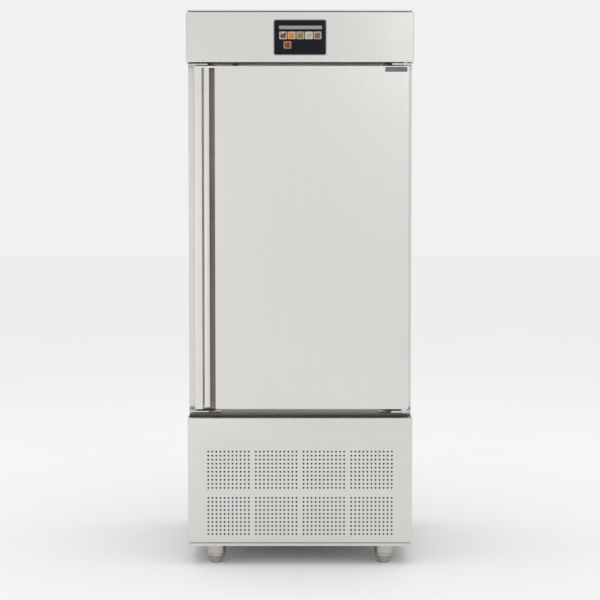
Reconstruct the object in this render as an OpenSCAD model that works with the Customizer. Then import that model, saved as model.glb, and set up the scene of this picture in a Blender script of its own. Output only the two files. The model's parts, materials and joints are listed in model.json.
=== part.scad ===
// Upright blast chiller: an insulated cabinet over a refrigeration compartment.
// X runs to the right, Y to the back, Z up. The origin is on the floor, under the centre.

/* [Cabinet] */
// Width over the side panels
body_w = 790; // [765:1:850]
// Depth from the control fascia to the back panel
body_d = 820; // [800:1:880]
// Height over the top cover, with the feet screwed in
body_h = 1950; // [1900:1:2050]
// Thickness of the steel sheet
sheet_t = 1.2; // [0.8:0.1:1.5]
// Insulated wall, from the outside to the cabin
wall_t = 60; // [56:1:64]
// Height of the base lip above the floor
base_z = 66; // [60:1:75]
// Height of the lip round the base deck
lip_h = 8; // [6:1:10]
// Thickness of the base deck
deck_t = 2; // [1.5:0.1:2.5]
// Height of the edge of the top cover
cover_h = 5.5; // [4:0.1:7]
// Distance from the side of the cabinet to the edge of the top cover
cover_inset = 5; // [3:0.5:8]
// Overhang of the top cover past the side panels
cover_nose = 12; // [8:1:18]
// Width of the folded flange at the top of a side panel
flange_w = 20; // [15:1:25]

/* [Lower panel] */
// Height of the perforated lower panel
panel_h = 443; // [435:1:455]
// Depth of the folded edges of the lower panel and the fascia
fold_d = 26; // [24:1:28]
// Gap between the base lip and the lower panel
panel_gap = 7; // [5:1:9]
// Diameter of a perforation
hole_d = 6.7; // [5:0.1:8]
// Distance between perforations
hole_pitch = 14.3; // [12:0.1:14.5]
// Perforations across one field
hole_columns = 11; // [8:1:11]
// Perforations up one field
hole_rows = 10; // [6:1:10]
// Distance between the last hole of a field and the first of the next one beside it
field_gap_x = 25; // [20:1:28]
// Distance between the last hole of a field and the first of the next one above it
field_gap_z = 35.6; // [25:0.1:40]
// Height of the lowest row above the lower edge of the panel
field_base = 31.5; // [25:0.5:45]
// Diameter of the pivot studs of the lower panel and the fascia
stud_d = 5; // [4:0.5:6]
// Distance of those pivots from the front and the outer edge
stud_inset = 7; // [6:0.5:8]

/* [Door] */
// Distance of the door face behind the fascia face
door_setback = 2; // [1:0.5:3]
// Thickness of the door
door_t = 68; // [60:1:72]
// Cabinet showing beside the door, on the handle side
door_margin_left = 26; // [20:1:30]
// Cabinet showing beside the door, on the hinge side
door_margin_right = 14; // [12:1:18]
// Gap between the lower panel and the door
door_gap_low = 31; // [28:1:34]
// Gap between the door and the fascia
door_gap_top = 12; // [11:1:14]
// Thickness of the door gasket
gasket_t = 10; // [8:1:12]
// Width of the door gasket
gasket_w = 18; // [14:1:20]
// Distance of the gasket from the side edges of the door
gasket_side = 15; // [15:1:16]
// Distance of the gasket from the top and bottom edges of the door
gasket_end = 5; // [4:1:6]
// Height of the raised middle of the door liner
plug_t = 6; // [4:0.5:7]
// Width of the bare plate at the door corner
badge_w = 77; // [60:1:90]
// Height of the bare plate
badge_h = 17; // [12:1:20]
// Distance of the bare plate from the top of the door
badge_inset = 4; // [3:0.5:9]
// Distance of the bare plate from the side of the door
badge_side = 8; // [4:0.5:12]

/* [Handle] */
// Distance from the door edge to the handle recess
recess_offset = 27; // [24:1:32]
// Width of the handle recess
recess_w = 45.5; // [44:0.5:50]
// Depth of the handle recess
recess_d = 26; // [22:1:30]
// Distance from the recess to the top of the door, and from the grip to its bottom
recess_end = 8; // [6:1:12]
// Groove between the door edge strip and the grip
grip_gap = 7; // [5:0.5:9]
// Width of the grip
grip_w = 19; // [17:0.5:20]
// Thickness of the grip
grip_t = 3; // [2:0.1:4]
// Radius of the crown of the grip
grip_crown = 32; // [24:1:60]

/* [Hinges] */
// Diameter of the door pivots
pin_d = 12; // [10:0.5:13]
// Radial clearance of a pivot or shaft in its bore
fit = 0.05; // [0.03:0.01:0.08]
// Distance of the door pivot from the edge of the door
pivot_x_inset = 14; // [13:0.5:16]
// Distance of the door pivot behind the door face
pivot_y_inset = 16; // [16:0.5:18]
// Thickness of the hinge brackets
bracket_t = 6; // [5:0.5:7]
// Width of the hinge brackets and of the blank plates
bracket_w = 68; // [60:1:74]
// Outer diameter of the pivot bushes
bush_d = 20; // [18:0.5:22]
// Depth of the pivot bushes in the door
bush_h = 27; // [22:1:32]
// Diameter of the bearing collar under the door
collar_d = 24; // [23:0.5:26]

/* [Control fascia] */
// Height of the fascia
fascia_h = 172.5; // [165:0.5:185]
// Gap between the fascia and the top cover
fascia_gap = 5; // [4:0.5:7]
// Width of the touchscreen
screen_w = 184; // [160:1:200]
// Height of the touchscreen
screen_h = 123.5; // [100:0.5:128]
// Height of the touchscreen above the lower edge of the fascia
screen_z = 23.5; // [20:0.5:28]
// Corner radius of the touchscreen
screen_r = 8; // [3:0.5:12]
// Thickness of the touchscreen glass
glass_t = 4; // [3:0.5:5]
// Depth of the display housing
module_d = 18; // [14:1:19]

/* [Trays] */
// Width of the ledge of a tray runner
ledge_w = 55; // [50:1:65]
// Vertical distance between tray levels
level_pitch = 70; // [60:1:80]
// Gap between the tray runners and the air duct
runner_back = 25; // [20:1:40]
// Height of a runner
runner_h = 22; // [18:1:26]
// Side of the square uprights
upright_w = 20; // [16:1:24]
// Height of the lowest ledge above the cabin floor
level_base = 48; // [40:1:60]
// Depth of the room behind the air duct panel
duct_room = 245; // [235:1:250]

/* [Evaporator] */
// Diameter of every fan impeller
fan_d = 182; // [160:1:184]
// Gap between an impeller and its opening
fan_gap = 4; // [3:0.5:5]
// Depth of the finned coil in the cabin
evap_d = 110; // [90:1:120]
// Distance from the sides of the cabin to the finned coil
evap_side = 55; // [45:1:80]
// Distance from the floor and the top of the cabin to the coil
evap_end = 69; // [60:1:100]
// Distance between fins
fin_pitch = 14; // [12:1:20]
// Thickness of a fin in the coil outlines
fin_t = 3; // [2:0.5:4]

/* [Refrigeration] */
// Distance from the left side of the cabinet to the condenser
cond_side = 55; // [50:1:70]
// Distance from the condenser to the electrical box
cond_gap = 50; // [46:1:70]
// Height of the condenser
cond_h = 380; // [350:1:400]
// Depth of the condenser
cond_d = 70; // [60:1:76]
// Diameter of the compressor shell
comp_d = 196; // [180:1:200]
// Height of the compressor shell
comp_h = 290; // [260:1:300]
// Wall of the pressure vessels
vessel_t = 3.5; // [3:0.5:5]
// Diameter of the liquid receiver
recv_d = 100; // [90:1:110]
// Height of the liquid receiver
recv_h = 250; // [220:1:280]
// Diameter of the suction pipe
suction_d = 18; // [16:1:20]
// Diameter of the hot gas and liquid pipes
liquid_d = 10; // [8:1:12]
// Side of the electrical box
ebox_w = 186; // [170:1:190]
// Outer diameter of the drain stub
drain_d = 32; // [28:1:36]
// Length of the drain stub under the base
drain_out = 28; // [20:1:40]
// Diameter of the hole through the mains cable gland
gland_bore = 13; // [10:0.5:15]

/* [Feet] */
// Diameter of the foot sleeves
sleeve_d = 64; // [58:1:70]
// Diameter of a foot at its top
foot_d = 60; // [54:1:62]
// Diameter of a foot at the floor
foot_tip_d = 40; // [34:1:46]
// Height of a foot
foot_h = 34; // [30:1:38]
// Distance of the feet from the sides
foot_inset_x = 97; // [90:1:110]
// Distance of the feet from the front
foot_inset_y = 58; // [56:1:80]
// Diameter of the foot spindles
spindle_d = 16; // [14:1:18]

/* [Hidden] */
$fn = 48;

// Clearance between faces of two bodies that rest against each other
rest_gap = 0.3;
// Clearance of a cut-out round what sits in it
slip = 0.2;
// Overshoot of a cutting shape past the face it opens
over = 1;

// Outside faces
side_x = body_w / 2;
front_y = -body_d / 2;
back_y = body_d / 2;
inner_x = side_x - sheet_t;

// Levels, from the floor up
deck_z0 = base_z + lip_h;
deck_z1 = deck_z0 + deck_t;
panel_z0 = deck_z0 + panel_gap;
panel_z1 = panel_z0 + panel_h;
shell_rise = 8;
shell_z0 = panel_z1 + shell_rise;
sill_h = 32;
sill_flange = 18;
sill_z0 = shell_z0 - sill_h;
cabin_z0 = shell_z0 + wall_t;
door_z0 = panel_z1 + door_gap_low;
cover_z0 = body_h - cover_h;
fascia_z1 = cover_z0 - fascia_gap;
fascia_z0 = fascia_z1 - fascia_h;
door_z1 = fascia_z0 - door_gap_top;
shell_lap = 23;
shell_z1 = fascia_z0 + shell_lap;
cabin_z1 = shell_z1 - wall_t;

// Depths, from the front back
fold_y = front_y + fold_d;
edge_gap = 1.5;
edge_y = fold_y + edge_gap;
door_y0 = front_y + door_setback;
door_y1 = door_y0 + door_t;
face_y = door_y1 + gasket_t;
cabin_y1 = back_y - wall_t;
duct_y = cabin_y1 - duct_room;

// Cabin and door edges, and the plastic strip round the cabin's mouth
cabin_x = side_x - wall_t;
breaker_d = 30;
breaker_in = 2;
door_x0 = -side_x + door_margin_left;
door_x1 = side_x - door_margin_right;

// Handle recess in the door
recess_x0 = door_x0 + recess_offset;
recess_x1 = recess_x0 + recess_w;
recess_y1 = door_y0 + recess_d;
recess_z1 = door_z1 - recess_end;
grip_z0 = door_z0 + recess_end;
grip_x0 = recess_x0 + grip_gap;
grip_x1 = grip_x0 + grip_w;

// Door pivots and brackets
pivot_x = door_x1 - pivot_x_inset;
pivot_y = door_y0 + pivot_y_inset;
bracket_inset = 6;
bracket_x1 = side_x - bracket_inset;
bracket_x0 = bracket_x1 - bracket_w;
bracket_y0 = door_y0 + 4;
bracket_leg = 22;
bracket_flare = 40;
low_plate_z1 = door_z0 - 6;
low_plate_z0 = low_plate_z1 - bracket_t;
top_plate_z0 = door_z1 + 3;
top_plate_z1 = top_plate_z0 + bracket_t;
blank_t = 4;

// Pivots of the lower panel and of the fascia
stud_y = front_y + stud_inset;
panel_pivot_x = side_x - stud_inset;
fascia_pivot_z = fascia_z1 - stud_inset;
ear_t = 3;
ear_r = 4;
ear_leg = 34;
ear_notch = 12;

// Trays
upright_x1 = cabin_x;
upright_x0 = upright_x1 - upright_w;
ledge_x0 = upright_x0 - ledge_w;
upright_set = 40;
runner_start = 10;
runner_len = duct_y - runner_back - face_y - runner_start;
upright_y = [face_y + breaker_d + upright_set, duct_y - upright_set - upright_w];
level_count = floor((cabin_z1 - cabin_z0 - level_base - 60) / level_pitch) + 1;

// Fans: the plate that carries one, and what stands behind it
fan_hole_d = fan_d + 2 * fan_gap;
blade_count = 5;
blade_root = 6;
blade_pitch = 35;
blade_t = 2;
blade_w = 56;
hub_d = 58;
hub_h = 26;
hub_back = 6;
shaft_d = 8;
motor_d = 76;
motor_h = 42;
strut_w = 12;
strut_t = 4;
strut_r = fan_hole_d / 2 + 8;
strut_back = hub_h - hub_back + 6;
post_d = 8;
cabin_mid_z = (cabin_z0 + cabin_z1) / 2;
evap_z0 = cabin_z0 + evap_end;
evap_z1 = cabin_z1 - evap_end;
fan_share = 0.34;
cabin_fan_z = [for (i = [-1:1]) cabin_mid_z + i * fan_share * (evap_z1 - evap_z0)];

// Air duct panel: return slots, guards and sensors
return_inset = 40;
return_rows = 8;
return_w = 14;
return_h = 90;
return_end = 62.5;
return_pitch = (evap_z1 - evap_z0 - 2 * return_end) / (return_rows - 1);
guard_wire = 3;
guard_d = 14;
guard_rings = [30, 55, 80, fan_hole_d / 2 + 5];
sensor_d = 8;
sensor_h = 60;
clip_t = 4;
clip_h = 12;
inlet_d = 26;
inlet_h = 16;
inlet_drop = 50;
inlet_set = 22;
probe_d = 6;

// Evaporator
evap_y1 = cabin_y1 - 28;
evap_y0 = evap_y1 - evap_d;
evap_x = cabin_x - evap_side;
tube_pitch = 50;
tube_d = 10;
plate_t = 2;
plate_bite = fin_t / 2;

// Electrical box on the right, condenser on the left, close behind the lower panel
ebox_side = 18;
ebox_x1 = inner_x - ebox_side;
ebox_x0 = ebox_x1 - ebox_w;
cond_back = 11;
cond_x0 = -side_x + cond_side;
cond_x1 = ebox_x0 - cond_gap;
cond_y0 = edge_y + cond_back;
cond_y1 = cond_y0 + cond_d;
cond_z1 = deck_z1 + cond_h;
cond_mid_z = deck_z1 + cond_h / 2;
shroud_d = 42;
shroud_y1 = cond_y1 + shroud_d;
hot_gas_z = cond_z1 - 30;
liquid_out_z = deck_z1 + 30;
cond_fan_x = [for (i = [1, 3]) cond_x0 + i * (cond_x1 - cond_x0) / 4];

// Compressor, receiver and drier
comp_x = -150;
comp_back = 300;
comp_y = back_y - comp_back;
pipe_run = 150;
mount_h = 16;
mount_d = 30;
mount_span = 200;
foot_plate = 232;
foot_plate_t = 4;
comp_z0 = deck_z1 + mount_h + foot_plate_t;
comp_z1 = comp_z0 + comp_h;
comp_dome = 40;
core_d = comp_d - 2 * vessel_t - 20;
core_leg_w = 20;
core_reach = sqrt(pow(comp_d / 2 - vessel_t, 2) - pow(core_leg_w / 2, 2)) - slip;
recv_x = 60;
recv_y = comp_y;
recv_skirt = 20;
recv_z0 = deck_z1 + recv_skirt;
recv_z1 = recv_z0 + recv_h;
stub_h = 14;
recv_port = 25;
drier_d = 44;
drier_h = 110;
drier_neck = 12;
drier_set = 60;
drier_x = recv_x + recv_port + drier_set;
riser_y = cabin_y1 - 25;
liquid_x = 200;
suction_x = 250;
port_x = 55;
drier_z0 = 250;
valve_w = 22;
valve_x0 = liquid_x - valve_w / 2;
valve_rise = 20;
valve_z0 = cabin_z0 + valve_rise;
valve_pipe = 5;
valve_h = evap_z0 - valve_pipe - valve_z0;
drain_side = 105;
drain_x = -cabin_x + drain_side;
drain_y = cabin_y1 - 60;
drain_pipe_d = drain_d + 4;
drain_z0 = base_z - 2;

// Inside of the electrical box
ebox_y0 = edge_y + 14;
ebox_depth = 190;
ebox_t = 1.5;
rail_h = 35;
rail_t = 2;
contactor_w = 45;
contactor_h = 80;
contactor_d = 85;

// Rear of the compartment
recess_rear = 24;
rear_y1 = back_y - recess_rear;
rear_y0 = rear_y1 - sheet_t;
slot_w = 120;
slot_h = 8;
slot_rows = 9;
slot_pitch = 32;
gland_x = side_x - 65;
gland_z = 130;
gland_thread_d = 25;
gland_flange_d = 34;
gland_out = 18;
gland_in = 12;
screw_d = 4;
screw_head_d = 9;
screw_head_h = 2.4;
screw_inset = 14;
screw_places = [for (x = [-inner_x + screw_inset, 0, inner_x - screw_inset],
  z = [deck_z1 + screw_inset, shell_z0 - screw_inset]) [x, z]];

// Door switch and bare plate
switch_x = -227;
switch_w = 16;
switch_d = 40;
badge_t = 0.8;

// Display housing and its circuit board
housing_rim = 8;
board_w = 140;
board_h = 90;
board_t = 1.6;
board_gap = 3;

// One field of perforations
field_w = (hole_columns - 1) * hole_pitch;
field_h = (hole_rows - 1) * hole_pitch;

// Feet
foot_x = side_x - foot_inset_x;
foot_front_y = front_y + foot_inset_y;
foot_rear_y = back_y - foot_inset_y - 12;
foot_z1 = foot_h - rest_gap;
spindle_h = 36;
spindle_room = 1;

// A block between two corners, given as a span along each axis
module block(x, y, z) {
  translate([x[0], y[0], z[0]]) cube([x[1] - x[0], y[1] - y[0], z[1] - z[0]]);
}

// A straight bar with a round section between two points
module bar(p, q, d) {
  v = q - p;
  translate(p)
    rotate([0, acos(v.z / norm(v)), atan2(v.y, v.x)])
      cylinder(d = d, h = norm(v));
}

// A pipe through a list of points, with a ball in each corner
module pipe(points, d) {
  for (i = [0:len(points) - 2]) bar(points[i], points[i + 1], d);
  for (i = [1:len(points) - 2]) translate(points[i]) sphere(d = d);
}

// A round bar along Y
module bar_y(x, y, z, d) {
  translate([x, y[0], z]) rotate([-90, 0, 0]) cylinder(d = d, h = y[1] - y[0]);
}

// A rounded rectangle, centred across X, standing on y = 0
module rounded_outline(w, h, r) {
  union() {
    translate([-w / 2 + r, 0]) square([w - 2 * r, h]);
    translate([-w / 2, r]) square([w, h - 2 * r]);
    for (x = [-w / 2 + r, w / 2 - r], y = [r, h - r]) translate([x, y]) circle(r = r);
  }
}

// The outline of a finned coil, cut from the front and the back
function fin_edge(x0, x1, count, y, depth) =
  [for (i = [0:count])
    let (x = x0 + i * (x1 - x0 - fin_t) / count, next = x0 + (i + 1) * (x1 - x0 - fin_t) / count)
      each i < count ? [[x, y], [x + fin_t, y], [x + fin_t, y + depth], [next, y + depth]]
        : [[x, y], [x1, y]]];

module fin_block(x, y, z) {
  count = floor((x[1] - x[0] - fin_t) / fin_pitch);
  groove = (y[1] - y[0]) * 0.35;
  near = fin_edge(x[0], x[1], count, y[0], groove);
  far = fin_edge(x[0], x[1], count, y[1], -groove);
  translate([0, 0, z[0]]) linear_extrude(z[1] - z[0])
    polygon(concat(near, [for (i = [len(far) - 1:-1:0]) far[i]]));
}

// Tube bends that stand out of a coil on one side
module coil_bends(x, side, y, z) {
  rows = floor((z[1] - z[0]) / (2 * tube_pitch));
  mid = (z[0] + z[1]) / 2;
  for (i = [0:rows - 1])
    translate([x, y, mid + (i - (rows - 1) / 2) * 2 * tube_pitch])
      rotate([90, 0, 0])
        rotate_extrude(angle = 180, start = side > 0 ? -90 : 90)
          translate([tube_pitch / 2, 0]) circle(d = tube_d);
}

// A fan motor on its strut, behind a plate whose back face is at y
module fan_motor(x, y, z) {
  strut_y = y + strut_back;
  block([x - strut_r, x + strut_r], [strut_y, strut_y + strut_t],
    [z - strut_w / 2, z + strut_w / 2]);
  for (s = [-1, 1]) bar_y(x + s * strut_r, [y, strut_y], z, post_d);
  bar_y(x, [strut_y, strut_y + strut_t + motor_h], z, motor_d);
  bar_y(x, [y - hub_back + 3, strut_y], z, shaft_d);
}

// A fan impeller in a plate whose back face is at y
module impeller(x, y, z) {
  hub_y = y - hub_back;
  difference() {
    union() {
      bar_y(x, [hub_y, hub_y + hub_h], z, hub_d);
      intersection() {
        bar_y(x, [hub_y, hub_y + hub_h], z, fan_d);
        for (i = [0:blade_count - 1])
          translate([x, hub_y + hub_h / 2, z])
            rotate([0, i * 360 / blade_count, 0]) translate([hub_d / 2 - blade_root, 0, 0])
              rotate([blade_pitch, 0, 0])
                translate([0, -blade_t / 2, -blade_w / 2]) cube([fan_d / 2, blade_t, blade_w]);
      }
    }
    bar_y(x, [hub_y + 3 - rest_gap, hub_y + hub_h + over], z, shaft_d + 2 * fit);
  }
}

// Base deck with a lip turned down all round, and holes for the drain
module base_frame() {
  color("silver") difference() {
    block([-inner_x, inner_x], [edge_y - cover_nose, rear_y1], [base_z, deck_z1]);
    block([-inner_x + deck_t, inner_x - deck_t],
      [edge_y - cover_nose + deck_t, rear_y1 - deck_t], [base_z - over, deck_z0]);
    translate([drain_x, drain_y, base_z])
      cylinder(d = drain_pipe_d + 2 * slip, h = deck_z1 - base_z + over);
  }
}

// Four sleeves that hold the feet, under the deck
module foot_sleeves() {
  color("gainsboro") for (x = [-foot_x, foot_x], y = [foot_front_y, foot_rear_y])
    translate([x, y, foot_h]) difference() {
      cylinder(d = sleeve_d, h = deck_z0 - foot_h);
      translate([0, 0, -over])
        cylinder(d = spindle_d + 2 * fit, h = spindle_h + over + spindle_room);
    }
}

// A side panel, notched for the door, with a flange at the top and hinge ears
module side_panel(s) {
  mirror([s < 0 ? 1 : 0, 0, 0]) {
    translate([inner_x, 0, 0]) rotate([90, 0, 90]) linear_extrude(sheet_t)
      polygon([[edge_y, base_z], [back_y, base_z], [back_y, cover_z0], [edge_y, cover_z0],
        [edge_y, fascia_z0], [face_y, fascia_z0], [face_y, panel_z1], [edge_y, panel_z1]]);
    block([side_x - flange_w, side_x], [edge_y, back_y], [cover_z0 - sheet_t, cover_z0]);
    block([inner_x - rest_gap - ear_t, inner_x - rest_gap],
      [stud_y - ear_r, edge_y + ear_leg], [fascia_pivot_z - ear_r, fascia_pivot_z + ear_r]);
    block([inner_x - rest_gap - ear_t, inner_x + sheet_t / 2],
      [edge_y + 2, edge_y + ear_leg], [fascia_pivot_z - ear_r, fascia_pivot_z + ear_r]);
    translate([inner_x - rest_gap - ear_t, stud_y, fascia_pivot_z]) rotate([0, 90, 0])
      cylinder(d = stud_d, h = ear_t + rest_gap + sheet_t);
  }
}

module side_panel_left() {
  color("lightgray") side_panel(-1);
}

// The right side panel also carries the two pivots of the lower panel
module side_panel_right() {
  color("lightgray") {
    side_panel(1);
    panel_ear(panel_z0 + sheet_t + rest_gap, -1);
    panel_ear(panel_z1 - sheet_t - rest_gap - ear_t, 1);
  }
}

module panel_ear(z, s) {
  block([panel_pivot_x - ear_r, panel_pivot_x + ear_r - 1], [stud_y - ear_r, edge_y + 2],
    [z, z + ear_t]);
  block([panel_pivot_x - ear_r, side_x - sheet_t / 2], [edge_y + 2, edge_y + ear_leg],
    [z, z + ear_t]);
  translate([panel_pivot_x, stud_y, s > 0 ? z : z - rest_gap - sheet_t])
    cylinder(d = stud_d, h = ear_t + rest_gap + sheet_t);
}

module back_panel() {
  color("darkgray")
    block([-inner_x, inner_x], [back_y - sheet_t, back_y], [shell_z0, cover_z0 - sheet_t]);
}

// Flat lid with a lip turned down all round
module top_cover() {
  color("silver") difference() {
    block([-side_x + cover_inset, side_x - cover_inset],
      [edge_y - cover_nose, back_y - cover_inset], [cover_z0, body_h]);
    block([-side_x + cover_inset + sheet_t, side_x - cover_inset - sheet_t],
      [edge_y - cover_nose + sheet_t, back_y - cover_inset - sheet_t],
      [cover_z0 - over, body_h - sheet_t]);
  }
}

// Vertical holes for the two refrigerant risers and the drain
module riser_cuts(z) {
  translate([liquid_x, riser_y, z[0]])
    cylinder(d = liquid_d + 2 * slip, h = z[1] - z[0]);
  translate([suction_x, riser_y, z[0]])
    cylinder(d = suction_d + 2 * slip, h = z[1] - z[0]);
  translate([drain_x, drain_y, z[0]])
    cylinder(d = drain_pipe_d + 2 * slip, h = z[1] - z[0]);
}

// Foam between the liner, the front frame, the decks and the outer panels
module cabinet_foam() {
  color("khaki") difference() {
    block([-inner_x, inner_x], [face_y + sheet_t, back_y - sheet_t],
      [shell_z0 + sheet_t, shell_z1 - sheet_t]);
    block([-cabin_x - sheet_t, cabin_x + sheet_t], [face_y, cabin_y1 + sheet_t],
      [cabin_z0 - sheet_t, cabin_z1 + sheet_t]);
    riser_cuts([shell_z0, cabin_z0]);
  }
}

// Seamless steel box round the cabin, open to the front
module inner_liner() {
  color("gainsboro") difference() {
    block([-cabin_x - sheet_t, cabin_x + sheet_t], [face_y + breaker_d, cabin_y1 + sheet_t],
      [cabin_z0 - sheet_t, cabin_z1 + sheet_t]);
    block([-cabin_x, cabin_x], [face_y, cabin_y1], [cabin_z0, cabin_z1]);
    riser_cuts([cabin_z0 - 2 * sheet_t, cabin_z0 + over]);
  }
}

// Steel frame round the cabin opening, where the gasket seals, with a folded rail under it
module front_frame() {
  color("silver") {
    difference() {
      block([-inner_x, inner_x], [face_y, face_y + sheet_t], [sill_z0, shell_z1]);
      block([-cabin_x - sheet_t, cabin_x + sheet_t], [face_y - over, face_y + sheet_t + over],
        [cabin_z0 - sheet_t, cabin_z1 + sheet_t]);
    }
    block([-inner_x, inner_x], [face_y, face_y + sill_flange], [sill_z0, sill_z0 + sheet_t]);
  }
}

// Plastic strip that parts the cold liner from the warm frame
module breaker_strip() {
  color("dimgray") difference() {
    block([-cabin_x - sheet_t, cabin_x + sheet_t], [face_y, face_y + breaker_d],
      [cabin_z0 - sheet_t, cabin_z1 + sheet_t]);
    block([-cabin_x + breaker_in, cabin_x - breaker_in],
      [face_y - over, face_y + breaker_d + over],
      [cabin_z0 + breaker_in, cabin_z1 - breaker_in]);
  }
}

// Sheets under and over the foam
module foam_decks() {
  color("darkgray") {
    difference() {
      block([-inner_x, inner_x], [face_y + sheet_t, back_y - sheet_t],
        [shell_z0, shell_z0 + sheet_t]);
      riser_cuts([shell_z0 - over, shell_z0 + 2 * sheet_t]);
    }
    block([-inner_x, inner_x], [face_y + sheet_t, back_y - sheet_t],
      [shell_z1 - sheet_t, shell_z1]);
  }
}

module tray_uprights() {
  color("gainsboro") for (s = [-1, 1], y = upright_y)
    mirror([s < 0 ? 1 : 0, 0, 0])
      block([upright_x0, upright_x1], [y, y + upright_w],
        [cabin_z0, cabin_z0 + level_base + level_count * level_pitch]);
}

// One angle section on each side at every level
module tray_runners() {
  color("silver") for (s = [-1, 1], i = [0:level_count - 1])
    mirror([s < 0 ? 1 : 0, 0, 0])
      translate([0, face_y + runner_start,
        cabin_z0 + level_base + i * level_pitch]) {
        block([ledge_x0, upright_x0], [0, runner_len], [0, sheet_t]);
        block([upright_x0 - sheet_t, upright_x0], [0, runner_len], [0, runner_h]);
      }
}

// Air duct panel, with an opening for each cabin fan and return slots at its edges
module duct_panel() {
  color("gainsboro") difference() {
    block([-cabin_x, cabin_x], [duct_y, duct_y + sheet_t], [cabin_z0, cabin_z1]);
    for (z = cabin_fan_z) bar_y(0, [duct_y - over, duct_y + sheet_t + over], z, fan_hole_d);
    for (s = [-1, 1], i = [0:return_rows - 1])
      translate([s * (cabin_x - return_inset), 0, evap_z0 + return_end + i * return_pitch])
        block([-return_w / 2, return_w / 2], [duct_y - over, duct_y + sheet_t + over],
          [-return_h / 2, return_h / 2]);
  }
}

// A flat ring round the Z axis, as thick as the guard wire
module guard_ring(r, z) {
  translate([0, 0, z]) difference() {
    cylinder(r = r + guard_wire / 2, h = guard_wire);
    translate([0, 0, -over]) cylinder(r = r - guard_wire / 2, h = guard_wire + 2 * over);
  }
}

// Wire guard in front of each cabin fan, on feet that stand on the duct panel
module fan_guards() {
  color("silver") for (z = cabin_fan_z) translate([0, duct_y, z]) rotate([90, 0, 0]) {
    for (r = guard_rings) guard_ring(r, guard_d - guard_wire / 2);
    for (a = [0:45:315]) rotate([0, 0, a]) {
      block([guard_rings[0], guard_rings[3]], [-guard_wire / 2, guard_wire / 2],
        [guard_d - guard_wire, guard_d]);
      block([guard_rings[3] - guard_wire / 3, guard_rings[3] + guard_wire / 3],
        [-guard_wire / 2, guard_wire / 2], [0, guard_d]);
    }
  }
}

module evaporator_fan_motors() {
  color("dimgray") for (z = cabin_fan_z) fan_motor(0, duct_y + sheet_t, z);
}

module evaporator_fan_1() {
  color("black") impeller(0, duct_y + sheet_t, cabin_fan_z[0]);
}

module evaporator_fan_2() {
  color("black") impeller(0, duct_y + sheet_t, cabin_fan_z[1]);
}

module evaporator_fan_3() {
  color("black") impeller(0, duct_y + sheet_t, cabin_fan_z[2]);
}

// Finned coil between two end plates that hang on the back of the cabin
module evaporator_coil() {
  color("lightsteelblue") {
    fin_block([-evap_x, evap_x], [evap_y0, evap_y1], [evap_z0, evap_z1]);
    for (s = [-1, 1]) {
      mirror([s < 0 ? 1 : 0, 0, 0])
        block([evap_x - plate_bite, evap_x + plate_t], [evap_y0, cabin_y1], [evap_z0, evap_z1]);
      coil_bends(s * (evap_x + plate_t), s, (evap_y0 + evap_y1) / 2, [evap_z0, evap_z1]);
    }
  }
}

// Valve body between the liquid riser and the coil, with its sensing head
module expansion_valve() {
  color("goldenrod") {
    block([valve_x0, valve_x0 + valve_w], [riser_y - valve_w / 2, riser_y + valve_w / 2],
      [valve_z0, valve_z0 + valve_h]);
    bar_y(liquid_x, [riser_y - valve_w / 2 - 14, riser_y - valve_w / 2],
      valve_z0 + valve_h / 2, 18);
    translate([liquid_x, riser_y, valve_z0 + valve_h])
      cylinder(d = liquid_d, h = evap_z0 - valve_z0 - valve_h);
  }
}

// Drain from the cabin floor to under the base
module drain_pipe() {
  color("gray") translate([drain_x, drain_y, 0]) difference() {
    union() {
      translate([0, 0, drain_z0 - drain_out]) cylinder(d = drain_d, h = drain_out + over);
      translate([0, 0, drain_z0]) cylinder(d = drain_pipe_d, h = cabin_z0 - drain_z0);
      translate([0, 0, cabin_z0]) cylinder(d = drain_pipe_d + 12, h = 2);
    }
    translate([0, 0, drain_z0 - drain_out - over])
      cylinder(d = drain_d - 4, h = cabin_z1);
  }
}

// Air sensor on the duct panel, and the inlet of the core probe on the cabin wall
module cabin_sensors() {
  color("silver") {
    translate([-cabin_x / 2, duct_y, cabin_mid_z - sensor_h / 2]) {
      translate([0, -sensor_d, 0]) cylinder(d = sensor_d, h = sensor_h);
      block([-sensor_d / 2, sensor_d / 2], [-sensor_d / 2 - clip_t, 0],
        [(sensor_h - clip_h) / 2, (sensor_h + clip_h) / 2]);
    }
    translate([cabin_x, duct_y - inlet_set, cabin_z1 - inlet_drop]) rotate([0, -90, 0])
      difference() {
        union() {
          cylinder(d = inlet_d, h = clip_t);
          cylinder(d = inlet_d - 2 * clip_t, h = inlet_h);
        }
        translate([0, 0, clip_t]) cylinder(d = probe_d, h = inlet_h);
      }
  }
}

module condenser_coil() {
  color("lightsteelblue") {
    fin_block([cond_x0, cond_x1], [cond_y0, cond_y1], [deck_z1, cond_z1]);
    for (s = [-1, 1]) {
      x = s < 0 ? cond_x0 : cond_x1;
      block([x - (s < 0 ? plate_t : plate_bite), x + (s < 0 ? plate_bite : plate_t)],
        [cond_y0, cond_y1], [deck_z1, cond_z1]);
      coil_bends(x + s * plate_t, s, (cond_y0 + cond_y1) / 2, [deck_z1, cond_z1]);
    }
    bar_y(cond_x1 + plate_t + 14, [cond_y1 - 20, cond_y1], hot_gas_z, liquid_d + 4);
    bar([cond_x1, cond_y1 - 14, hot_gas_z], [cond_x1 + plate_t + 14, cond_y1 - 14, hot_gas_z],
      liquid_d);
    bar_y(cond_x1 + plate_t + 14, [cond_y1 - 20, cond_y1], liquid_out_z, liquid_d + 4);
    bar([cond_x1, cond_y1 - 14, liquid_out_z],
      [cond_x1 + plate_t + 14, cond_y1 - 14, liquid_out_z], liquid_d);
  }
}

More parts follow.
